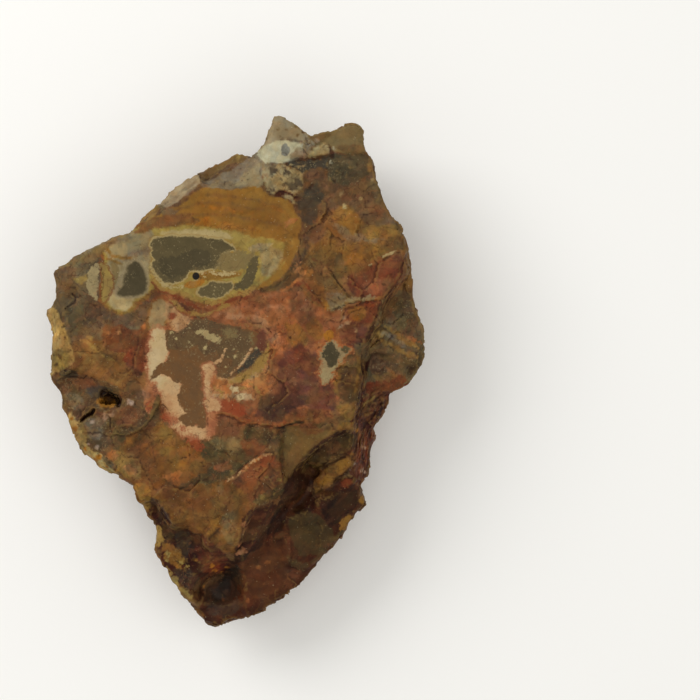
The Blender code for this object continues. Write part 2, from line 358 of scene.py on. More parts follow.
@dataclass(frozen=True)
class Groove(Crack):
    """A soft round groove along a line: its width and depth in mm."""

    tip: ClassVar[float] = 3.0 * MM

    def depth_at(self, plan: np.ndarray, wander: np.ndarray) -> np.ndarray:
        """Measures how far the groove cuts into the face.

        Args:
            plan: Places on the broad face in metres, one a row.
            wander: How far the line wanders off at each place, in metres.

        Returns:
            The depth at each place in metres.
        """
        reach = beside(Grid.place(self.line), plan)
        across = np.abs(reach.side + wander) / (0.5 * self.width * MM)
        return self.depth * MM * smooth_step(1.0 - across) * reach.taper(self.tip)


@dataclass(frozen=True)
class RoughPatch:
    """A patch of the face that is knotty or ribbed: its height and its features' span in mm."""

    name: str
    outline: Points
    height: float
    span: float
    stretch: Stretch = (1.0, 1.0, 1.0)
    chips: float = 0.0
    blend: ClassVar[float] = 2.4 * MM

    def height_at(self, spots: np.ndarray) -> np.ndarray:
        """Measures how far the patch lifts the face.

        Args:
            spots: Places on the broad face in metres, one a row.

        Returns:
            The height at each place in metres, less than zero where it lowers the face.
        """
        depth = depth_inside(Grid.place(self.outline), spots[:, :2], self.blend)
        share = smooth_step(depth / self.blend + 0.5)
        inside = np.flatnonzero(share > 0.0)
        rough = roughness_at(spots[inside], self.span * MM, 2, self.stretch)
        if self.chips:
            rough = rough + self.chips * chips_at(spots[inside], self.span * MM)
        height = np.zeros(len(spots))
        height[inside] = self.height * MM * share[inside] * rough
        return height


LEDGES = (
    Ledge("pink plate's foot", (386, 297, 378, 300, 365, 301, 355, 302, 345, 304, 337, 308, 328, 310), -0.9,
          5.0, 3.0),
    Ledge("long ledge", (277, 427, 268, 425, 258, 424, 248, 424, 240, 421, 234, 417, 226, 415, 215, 413),
          -0.7, 3.0, 3.0),
    Ledge("red plate's upper edge", (226, 481, 236, 475, 244, 468, 252, 461, 262, 455, 270, 453, 277, 452),
          -0.7, 3.5, 2.0),
    Ledge("olive wedge's edge", (324, 266, 331, 273, 337, 281, 345, 293, 350, 301), -0.5, 3.0, 2.0),
    Ledge("upper right flake", (381, 260, 388, 256, 394, 253, 401, 251), 0.5, 3.0, 1.0),
    Ledge("middle flake", (301, 280, 308, 287, 313, 294, 318, 301, 328, 312), -0.4, 3.0),
    Ledge("ring groove", (303, 234, 307, 243, 306, 254, 299, 266, 290, 276, 278, 286, 262, 293), 0.25, 2.0),
    Ledge("shoulder arc", (108, 434, 120, 435, 130, 434, 141, 430, 151, 420, 157, 409, 163, 398), 0.7, 4.0,
          2.0),
    Ledge("upper left flake", (88, 263, 98, 262, 104, 270, 105, 285, 102, 302), 0.3, 3.0),
    Ledge("left step", (66, 302, 78, 304, 90, 303, 101, 306, 103, 320, 101, 334), 0.35, 4.0),
    Ledge("boot's lower rim", (176, 440, 190, 446, 206, 440, 214, 430), 0.25, 3.0),
    Ledge("grey slab's edge", (205, 438, 214, 446, 222, 452, 236, 450, 247, 441), 0.3, 3.0),
    Ledge("tan slope's step", (150, 425, 152, 440, 156, 458, 158, 476), 0.35, 3.0),
    Ledge("lower tan flake", (168, 505, 178, 490, 192, 482, 206, 478, 222, 476), 0.35, 4.0),
    Ledge("tongue's cleft", (211, 521, 222, 513, 229, 500, 232, 486), 0.3, 3.0),
    Ledge("red spot flake", (168, 300, 180, 306, 196, 316, 212, 320), 0.2, 2.0),
    Ledge("red corner flake", (343, 318, 352, 312, 362, 308, 374, 305), 0.4, 3.0, 2.0),
    Ledge("ochre flake", (348, 330, 356, 322, 366, 320, 374, 324), -0.3, 2.5),
)

CRACKS = (
    Crack("left forked crack", (66, 309, 71, 305, 76, 301, 76, 297, 72, 293), 1.2, 0.45),
    Crack("left fork", (75, 298, 79, 297, 85, 296), 1.0, 0.3),
    Crack("cavity slit", (80, 422, 85, 417, 91, 414, 96, 408), 1.6, 2.6),
    Crack("shoulder crack", (110, 416, 111, 423, 110, 431), 1.1, 0.4),
    Crack("blue patch crack", (58, 380, 66, 377, 76, 377, 84, 379, 89, 373), 1.0, 0.35),
    Crack("wedge crack", (331, 273, 337, 281, 344, 291), 0.9, 0.25),
    Crack("flank crack", (404, 258, 402, 268, 402, 275, 395, 284, 386, 297, 381, 312), 1.2, 0.4),
    Crack("ledge crack", (275, 427, 285, 427, 294, 424, 302, 422), 1.2, 0.4),
    Crack("ribbed crack", (358, 396, 360, 408, 357, 420, 357, 430), 1.1, 0.5),
)

GROOVES = (
    Groove("horn valley", (301, 128, 306, 137, 308, 146, 304, 156), 3.0, 0.5),
    Groove("knot groove", (290, 160, 302, 160, 316, 159, 330, 157), 3.0, 0.9),
    Groove("tongue groove", (350, 452, 343, 457, 332, 463, 320, 470), 3.0, 0.9),
    Groove("lower tongue groove", (352, 470, 340, 478, 329, 486), 2.8, 0.8),
    Groove("hidden groove", (340, 431, 334, 436, 324, 441), 2.4, 0.7),
    Groove("triangle seam", (159, 500, 151, 520), 2.2, 0.8),
)

ROUGH_PATCHES = (
    RoughPatch("left shoulder", (60, 380, 88, 378, 110, 386, 126, 398, 152, 402, 150, 420, 130, 432, 108,
          436, 96, 450, 76, 436, 64, 412), 0.55, 6.0, chips=0.7),
    RoughPatch("knotty lumps", (262, 160, 290, 162, 330, 158, 362, 156, 364, 182, 340, 186, 308, 190, 292,
          200, 272, 194), 0.40, 2.6),
    RoughPatch("ribbed flank", (360, 392, 392, 390, 394, 404, 380, 424, 360, 424), 0.8, 1.5, (2.4, 1.0,
          1.0)),
    RoughPatch("maroon edge", (350, 424, 378, 428, 372, 478, 352, 480), 0.7, 1.2, (1.0, 5.0, 1.0)),
    RoughPatch("right flank", (372, 334, 400, 300, 420, 310, 424, 360, 400, 388, 364, 392), 0.45, 4.5, (2.0,
          1.0, 1.0), 0.3),
    RoughPatch("lower block", (196, 600, 240, 560, 268, 520, 300, 496, 366, 490, 340, 545, 300, 590, 240,
          625, 205, 632), 0.40, 7.0, chips=0.6),
    RoughPatch("under layer", (140, 500, 176, 530, 226, 562, 236, 566, 198, 600, 150, 560), 0.45, 3.6,
          chips=0.5),
    RoughPatch("tongues", (306, 452, 352, 430, 356, 486, 318, 500), 0.3, 3.0, (1.0, 1.0, 1.0), 0.4),
    RoughPatch("left rim", (46, 308, 66, 312, 74, 350, 70, 372, 50, 378), 0.45, 2.4, chips=0.4),
    RoughPatch("lower left rim", (70, 430, 98, 446, 132, 474, 118, 478, 76, 450), 0.5, 2.2, chips=0.4),
    RoughPatch("grey strip", (206, 186, 226, 168, 252, 156, 258, 176, 236, 190), 0.35, 1.8),
)


@dataclass
class StoneSkin:
    """The stone's fine skin, worked from the solid. Sizes in metres.

    The solid leaves a thin lip standing at the stone's lower tip, which the skin loses. Inside an
    outline the lip is shaved down to a level, and what is left of it melts into the stone within
    a reach of its place.
    """

    voxel: float = 0.66 * MM
    sewing: float = 0.001 * MM
    softening: int = 6
    most_triangles: int = 190_000
    flat_spot: float = 0.05 * MM
    stain_reach: float = 8.0 * MM
    face_looks: tuple[int, float, float] = (4, 0.25, 0.35)
    side_looks: tuple[int, float, float] = (3, -0.08, 0.20)
    wander: Relief = Relief(0.45, 2.2)
    face_layers: tuple[Relief, ...] = (Relief(0.18, 11.0), Relief(0.08, 2.8, 3))
    face_scars: tuple[Scars, ...] = (Scars(0.22, 12.0, 5.0), Scars(0.077, 5.0, 6.0))
    face_fold: Fold = Fold(5.0, 1.2)
    wall_layers: tuple[Scars | Relief, ...] = (
        Scars(0.9, 6.0, squash=1.5),
        Scars(0.36, 2.6),
        Relief(0.30, 1.3, 2, (1.0, 9.0, 1.0)),
        Relief(0.22, 1.8),
    )
    tip_outline: Points = (180, 606, 226, 612, 226, 640, 180, 640)
    tip_blend: float = 5.0 * MM
    tip_level: float = 31.5 * MM
    tip_share: float = 0.9
    lip_place: tuple[float, float, float] = (-13.3 * MM, -100.3 * MM, 32.0 * MM)
    lip_reach: float = 4.5 * MM
    lip_rounds: int = 40
    sharpest: float = 38.0
    piece: bpy.types.Object = field(init=False)

    def build(self) -> bpy.types.Object:
        """Works the skin from the solid to the dressed shape.

        Returns:
            The finished piece, at the origin.
        """
        self.copy_solid()
        self.even_out()
        self.shave_tip()
        self.carve_face()
        self.carve_walls()
        self.melt_lip()
        self.thin_back()
        self.soften_shading()
        LOG.info("%s: %d triangles", self.piece.name, len(self.piece.data.polygons))
        return self.piece

    def copy_solid(self) -> None:
        """Copies the solid's mesh to a new piece and sews its loose triangles together."""
        bpy.ops.object.select_all(action="DESELECT")
        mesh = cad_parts[NODE].data.copy()
        mesh.materials.clear()
        self.piece = bpy.data.objects.new("agatised_log_piece", mesh)
        bpy.context.scene.collection.objects.link(self.piece)
        self.piece.select_set(True)
        bpy.context.view_layer.objects.active = self.piece
        bpy.ops.object.mode_set(mode="EDIT")
        bpy.ops.mesh.select_all(action="SELECT")
        bpy.ops.mesh.remove_doubles(threshold=self.sewing)
        bpy.ops.object.mode_set(mode="OBJECT")

    def apply(self, kind: str, **settings: object) -> None:
        """Adds a modifier to the piece, sets it and applies it.

        Args:
            kind: Blender's name for the modifier's type.
            settings: The modifier's settings.
        """
        worked = self.piece.modifiers.new(kind.lower(), kind)
        for name, value in settings.items():
            setattr(worked, name, value)
        bpy.ops.object.modifier_apply(modifier=worked.name)

    def even_out(self) -> None:
        """Gives the skin an even fine mesh and softens the solid's flat facets."""
        self.apply("REMESH", mode="VOXEL", voxel_size=self.voxel)
        self.apply("SMOOTH", factor=0.5, iterations=self.softening)

    def read(self, rows: bpy.types.bpy_prop_collection, name: str, wide: int, kind: type) -> np.ndarray:
        """Reads a value of the mesh's vertices or edges.

        Args:
            rows: The vertices, their normals or the edges.
            name: The value's name.
            wide: How many numbers it is.
            kind: What kind of numbers they are.

        Returns:
            The values, one a row.
        """
        values = np.empty(len(rows) * wide, dtype=kind)
        rows.foreach_get(name, values)
        return values.reshape(-1, wide)

    def places(self) -> np.ndarray:
        """Reads the vertices' places, one a row."""
        return self.read(self.piece.data.vertices, "co", 3, np.float32).astype(float)

    def normals(self) -> np.ndarray:
        """Reads the vertices' normals, one a row."""
        return self.read(self.piece.data.vertex_normals, "vector", 3, np.float32).astype(float)

    def edges(self) -> np.ndarray:
        """Reads the edges' two ends, one edge a row."""
        return self.read(self.piece.data.edges, "vertices", 2, np.int32)

    def move_to(self, places: np.ndarray) -> None:
        """Moves the vertices, keeping the flat spot flat and nothing below it.

        Args:
            places: Where each vertex goes, one a row.
        """
        before = self.places()
        resting = before[:, 2] < self.flat_spot
        places[resting] = before[resting]
        places[:, 2] = np.maximum(places[:, 2], 0.0)
        self.piece.data.vertices.foreach_set("co", places.astype(np.float32).ravel())
        self.piece.data.update()

    def around(self, values: np.ndarray) -> np.ndarray:
        """Finds the mean of each vertex's neighbours.

        Args:
            values: One value, or one row of them, for each vertex.

        Returns:
            The means, in the same rows.
        """
        ends = self.edges()
        count = np.bincount(ends.ravel(), minlength=len(values))
        means = np.empty((len(values), values[0].size))
        for column, each in zip(means.T, values.reshape(len(values), -1).T):
            column[:] = np.bincount(ends[:, 0], each[ends[:, 1]], len(values))
            column += np.bincount(ends[:, 1], each[ends[:, 0]], len(values))
            column /= count
        return means.reshape(values.shape)

    def spread(self, values: np.ndarray, rounds: int) -> np.ndarray:
        """Evens values out over each vertex's neighbours.

        Args:
            values: One value for each vertex.
            rounds: How many times it evens them out.

        Returns:
            The evened values.
        """
        for _ in range(rounds):
            values = 0.5 * values + 0.5 * self.around(values)
        return values

    def looking_up(self, rounds: int, level: float, band: float) -> np.ndarray:
        """Finds where the skin, evened out, looks up out of the broad face.

        Args:
            rounds: How many times its normals are evened out.
            level: How far up a normal has to look, from -1 for straight down to 1 for straight up.
            band: How much further up it looks where it counts in full.

        Returns:
            From 0 to 1 for each vertex.
        """
        up = self.spread(self.normals()[:, 2], rounds)
        return smooth_step((up - level) / band)

    def face_share(self) -> np.ndarray:
        """Gives 1 where the skin looks up out of the broad face and 0 on the sides and back."""
        return self.looking_up(*self.face_looks)

    def side_share(self) -> np.ndarray:
        """Gives 1 on the sides and the back, where the broad face's stains don't reach."""
        return 1.0 - self.looking_up(*self.side_looks)

    def shave_tip(self) -> None:
        """Lowers the lip that the solid leaves standing at the very tip."""
        places = self.places()
        inside = depth_inside(Grid.place(self.tip_outline), places[:, :2], self.tip_blend)
        share = self.tip_share * smooth_step(inside / self.tip_blend + 0.5)
        places[:, 2] -= share * np.maximum(places[:, 2] - self.tip_level, 0.0)
        self.move_to(places)

    def carve_face(self) -> None:
        """Cuts the low ledges and cracks into the broad face and roughens its patches."""
        places = self.places()
        face = self.face_share()
        on_face = np.flatnonzero(face > 0.0)
        spots = places[on_face]
        plan = spots[:, :2]
        wander = self.wander.at(spots)
        lift = sum(layer.at(spots) for layer in self.face_layers)
        folded = spots + self.face_fold.at(spots)
        lift += sum(layer.at(folded) for layer in self.face_scars) * (1.0 - calm_at(plan))
        for cut in (*LEDGES, *CRACKS, *GROOVES):
            lift -= cut.depth_at(plan, wander)
        for patch in ROUGH_PATCHES:
            lift += patch.height_at(spots)
        places[on_face, 2] += lift * face[on_face]
        self.move_to(places)

    def carve_walls(self) -> None:
        """Breaks the sides and the back into chip scars crossed by the wood's grain, along Y."""
        places = self.places()
        normals = self.normals()
        wall = 1.0 - self.face_share()
        walled = np.flatnonzero(wall > 0.0)
        bite = sum(layer.at(places[walled]) for layer in self.wall_layers)
        places[walled] += normals[walled] * (bite * wall[walled])[:, None]
        self.move_to(places)

    def melt_lip(self) -> None:
        """Draws the thin lip that is left at the tip back into the stone."""
        places = self.places()
        gap = np.linalg.norm(places - self.lip_place, axis=1)
        share = smooth_step(2.0 * (1.0 - gap / self.lip_reach))[:, None]
        for _ in range(self.lip_rounds):
            places += share * (self.around(places) - places)
        self.move_to(places)

    def thin_back(self) -> None:
        """Thins the mesh of the sides and the back, and keeps the broad face as fine as it is."""
        wall = 1.0 - self.face_share()
        group = self.piece.vertex_groups.new(name="sides and back")
        for index in np.flatnonzero(wall > 0.5):
            group.add([int(index)], 1.0, "REPLACE")
        ratio = self.most_triangles / (2 * len(self.piece.data.polygons))
        self.apply("DECIMATE", ratio=ratio, vertex_group=group.name, use_collapse_triangulate=True)
        self.piece.vertex_groups.clear()
        # thinning can leave a vertex a hair below the flat spot, and this brings it back up
        self.move_to(self.places())

    def soften_shading(self) -> None:
        """Shades the skin smooth except across its sharp breaks."""
        self.piece.data.shade_smooth()
        bpy.ops.object.shade_smooth_by_angle(angle=math.radians(self.sharpest))

    def sharpness(self, reach: float) -> np.ndarray:
        """Measures how sharply the skin stands out at each vertex.

        Args:
            reach: The height over its neighbours that counts as 1, in metres.

        Returns:
            More than zero on edges and less than zero in hollows.
        """
        places = self.places()
        height = ((places - self.around(places)) * self.normals()).sum(axis=1)
        return np.clip(self.spread(height, 1) / reach, -2.0, 2.0)

    def mark(self, name: str, values: np.ndarray) -> None:
        """Stores one value for each vertex, for the stone's finish to read."""
        layer = self.piece.data.attributes.new(name, "FLOAT", "POINT")
        layer.data.foreach_set("value", values.astype(np.float32))

    def tint(self, name: str, colours: np.ndarray) -> None:
        """Stores one colour for each vertex, for the stone's finish to read.

        Args:
            name: The attribute's name.
            colours: Linear colours, one a row.
        """
        layer = self.piece.data.attributes.new(name, "FLOAT_COLOR", "POINT")
        shades = np.hstack((colours, np.ones((len(colours), 1))))
        layer.data.foreach_set("color", shades.astype(np.float32).ravel())


class Tint(Enum):
    """The stone's colours as two sRGB tones each, the usual one and the one it drifts to. A few dark ones
    also carry painted shade.
    """

    BROWN = ("#695036", "#75583a")
    OLIVE_BROWN = ("#75674b", "#7d6b4c")
    GREY_CREAM = ("#8a7b60", "#968668")
    BEVEL_GREY = ("#93816a", "#9c8d76")
    TAN_CREAM = ("#98854f", "#8c7846")
    WHITE_CREAM = ("#9b8a68", "#a89674")
    BONE = ("#b4a286", "#a8916f")
    CREAM_YELLOW = ("#b0996a", "#a28a5a")
    SAND = ("#947a4c", "#8a6f40")
    OCHRE = ("#8a6935", "#82602f")
    ORANGE = ("#8c6325", "#9a6c2e")
    GOLD = ("#8a6c3a", "#7f6233")
    YELLOW = ("#86724a", "#917d4c")
    OCHRE_BROWN = ("#7e5f38", "#745633")
    TAN = ("#75542d", "#684a27")
    REDDISH = ("#734b2e", "#6b432b")
    RUST = ("#865637", "#8f5f40")
    BRICK = ("#6b3a24", "#75432a")
    RED = ("#8c4c30", "#82432b")
    CORAL = ("#97654a", "#a37757")
    APRICOT = ("#a0693f", "#b07f55")
    PINK_CREAM = ("#a98766", "#b49878")
    PINK_RED = ("#70422c", "#673a28")
    PLUM = ("#694033", "#5f3c31")
    DARK_PLUM = ("#583a30", "#4f332a")
    CHERT = ("#5b5039", "#62563f")
    DEEP_CHERT = ("#544a37", "#4c4433")
    WARM_CHERT = ("#6b5239", "#725437")
    DUN_CHERT = ("#5d4b37", "#6a573f")
    OLIVE = ("#665030", "#54412a")
    DIM_OLIVE = ("#504837", "#5c5240")
    BLUE_SLATE = ("#49443b", "#3d3831")
    DUSK = ("#5f4d3b", "#6a5340")
    SMOKE = ("#6b5d49", "#5c4d3b")
    OLIVE_GREY = ("#5d5240", "#6a5d45")
    SLATE = ("#463b31", "#3a3029")
    GREEN_GREY = ("#534730", "#4a402a")
    GREY = ("#847765", "#766a59")
    PALE_HORN = ("#aba28a", "#b5ac94")
    HORN = ("#958772", "#8b7b62")
    BLUE_GREY = ("#6b675f", "#8c877d")
    SHOULDER = ("#624d37", "#57452f")
    LILAC = ("#a48c7c", "#b59c8b")
    BEIGE = ("#6d5535", "#76603c")
    UMBER = ("#361e10", "#2b180d")
    RED_UMBER = ("#3f210f", "#472714")
    RUST_UMBER = ("#5d3a22", "#533320")
    GREEN_UMBER = ("#43351f", "#4d3d25")
    MAROON = ("#47231a", "#562a1d")
    # painted shade: a near-black maroon for the shaded slope and the shade under the tongues
    BLACK_MAROON = ("#2a130a", "#33190e")
    DARK_MAROON = ("#3e1a0f", "#33150d")
    BLACK_BLUE = ("#211d19", "#2c2723")
    BLACK = ("#120c08", "#1a120c")


def linear(hexed: str) -> tuple[float, float, float, float]:
    """Turns an sRGB hex colour to the linear colour that a shader takes.

    Args:
        hexed: The colour, as in #aabbcc.

    Returns:
        Red, green, blue and alpha, from 0 to 1.
    """
    shares = [int(hexed[start:start + 2], 16) / 255 for start in (1, 3, 5)]
    red, green, blue = (
        share / 12.92 if share <= 0.04045 else ((share + 0.055) / 1.055) ** 2.4 for share in shares
    )
    return red, green, blue, 1.0


class Depth:
    """How the silica's depth and its iron change the tones: they part further and lose blue.

    Light and hue say how many times further from the middle tone a tone's lightness and its
    colour go. Iron is the share of red, green and blue that the stone gives back.
    """

    middle = np.array(linear(Tint.BROWN.value[0])[:3])
    iron = np.array((0.78, 0.68, 0.50))
    luma = np.array((0.21, 0.72, 0.07))
    darkest = 0.002
    light = 1.27
    hue = 1.35

    @classmethod
    def of(cls, tones: np.ndarray) -> np.ndarray:
        """Gives tones their depth.

        Args:
            tones: Linear colours, one a row.

        Returns:
            The colours that the stone shows.
        """
        apart = np.log(np.maximum(tones, cls.darkest) / cls.middle)
        lighter = (apart @ cls.luma)[..., None]
        return cls.middle * cls.iron * np.exp(cls.light * lighter + cls.hue * (apart - lighter))


def shown(hexed: str) -> tuple[float, float, float, float]:
    """Turns a tone's hex colour to the colour that the stone shows."""
    return *(float(share) for share in Depth.of(np.array(linear(hexed)[:3]))), 1.0


@dataclass(frozen=True)
class Stain:
    """A stain in the broad face: drawn areas, lines and dots of one tint. Lengths are in mm.

    A rim is a tint that reaches further out than the stain by a length, under the stain. A crisp
    stain is drawn by the finish itself, and the others are mixed into the skin's own tone. A calm
    stain takes less of the marbling. A few stains are painted shade or a painted highlight, not
    the stone's own colour.
    stain takes less of the marbling.
    """

    name: str
    tint: Tint
    areas: tuple[Points, ...] = ()
    lines: tuple[Points, ...] = ()
    dots: tuple[tuple[float, float, float], ...] = ()
    width: float = 1.0
    edge: float = 0.35
    wander: float = 0.9
    fray: float = 0.35
    strength: float = 1.0
    specks: float = 0.0
    calm: float = 0.0
    rims: tuple[tuple[Tint, float, float], ...] = ()
    crisp: bool = False
    line_tip: ClassVar[float] = 2.5 * MM
    tip_width: ClassVar[float] = 0.35

    def depths(self, plan: np.ndarray, most: float) -> np.ndarray:
        """Measures how deep places lie inside the stain.

        Args:
            plan: Places on the broad face in metres, one a row.
            most: The largest depth that matters, in metres.

        Returns:
            The depth at each place in mm, less than zero outside.
        """
        depth = np.full(len(plan), -most)
        for area in self.areas:
            depth = np.maximum(depth, depth_inside(rounded(Grid.place(area)), plan, most))
        for line in self.lines:
            drawn = Grid.place(line)
            low, high = drawn.min(axis=0) - most, drawn.max(axis=0) + most
            near = np.flatnonzero(((plan > low) & (plan < high)).all(axis=1))
            reach = beside(drawn, plan[near])
            share = self.tip_width + (1.0 - self.tip_width) * reach.taper(self.line_tip)
            half = 0.5 * self.width * MM * share
            depth[near] = np.maximum(depth[near], half - np.abs(reach.side))
        for across, down, radius in self.dots:
            gap = np.hypot(*(plan - Grid.place((across, down))).T)
            depth = np.maximum(depth, radius * Grid.step - gap)
        return np.clip(depth, -most, most) / MM


GROUNDS = (
    Stain("left ground", Tint.SMOKE, ((46, 270, 100, 240, 135, 236, 160, 300, 150, 345, 100, 345, 60, 345,
          44, 310),), edge=3.0),
    Stain("middle ground", Tint.RUST, ((140, 300, 200, 288, 260, 293, 300, 290, 345, 305, 384, 300, 380,
          330, 352, 345, 335, 424, 280, 428, 240, 424, 205, 440, 170, 430, 148, 380),), edge=2.5,
          specks=0.12),
    Stain("upper right ground", Tint.OCHRE_BROWN, ((298, 215, 320, 190, 345, 195, 380, 198, 402, 225, 412,
          260, 414, 292, 385, 300, 345, 305, 325, 312, 300, 292, 296, 250),), edge=2.5),
    Stain("left slope", Tint.OCHRE_BROWN, ((66, 342, 100, 338, 135, 342, 152, 380, 130, 398, 100, 386, 72,
          374),), edge=2.0),
    Stain("dark foot of the shoulder", Tint.SHOULDER, ((98, 440, 112, 436, 126, 438, 134, 450, 128, 464,
          114, 464, 104, 454),), edge=1.4, wander=1.6, fray=0.9, strength=0.7),
    Stain("shoulder ground", Tint.SHOULDER, ((52, 374, 90, 374, 130, 394, 160, 398, 160, 424, 140, 440, 110,
          452, 84, 448, 60, 410),), edge=1.5, specks=0.35),
    Stain("lower slope", Tint.TAN, ((104, 446, 150, 424, 176, 428, 206, 446, 244, 478, 262, 500, 244, 562,
          200, 540, 168, 520, 140, 512, 126, 480),), edge=2.0),
    # partly painted shade: the lower block's red umber is darkened for the shade on its facets as well as
    # for its own colour
    Stain("lower block", Tint.RED_UMBER, ((192, 640, 198, 600, 236, 568, 280, 500, 310, 490, 372, 484, 372,
          505, 320, 565, 290, 605, 240, 640),), edge=0.8, calm=0.4),
    Stain("shaded recess", Tint.UMBER, ((270, 486, 296, 462, 318, 440, 338, 428, 350, 430, 318, 478, 300,
          500, 286, 506, 282, 545, 262, 560, 236, 572, 218, 582, 232, 560, 260, 524, 284, 498),), edge=0.8,
          calm=0.5, strength=1.0),
    Stain("under layer", Tint.DARK_MAROON, ((148, 500, 160, 500, 176, 528, 206, 534, 214, 548, 232, 562,
          226, 576, 200, 584, 205, 602, 190, 606, 160, 566, 154, 530),), edge=0.6),
    Stain("right flank ground", Tint.OLIVE_GREY, ((378, 302, 394, 288, 412, 292, 428, 330, 426, 372, 402,
          392, 362, 396, 366, 350, 370, 330),), edge=0.6, specks=0.3),
    Stain("maroon edge", Tint.MAROON, ((350, 418, 362, 396, 392, 388, 392, 404, 380, 428, 380, 470, 364,
          490, 350, 482, 346, 450),), edge=0.6),
    Stain("top ground", Tint.GREY, ((196, 192, 210, 160, 250, 150, 270, 112, 310, 132, 306, 160, 266, 164,
          262, 188, 230, 191),), edge=0.8),
)

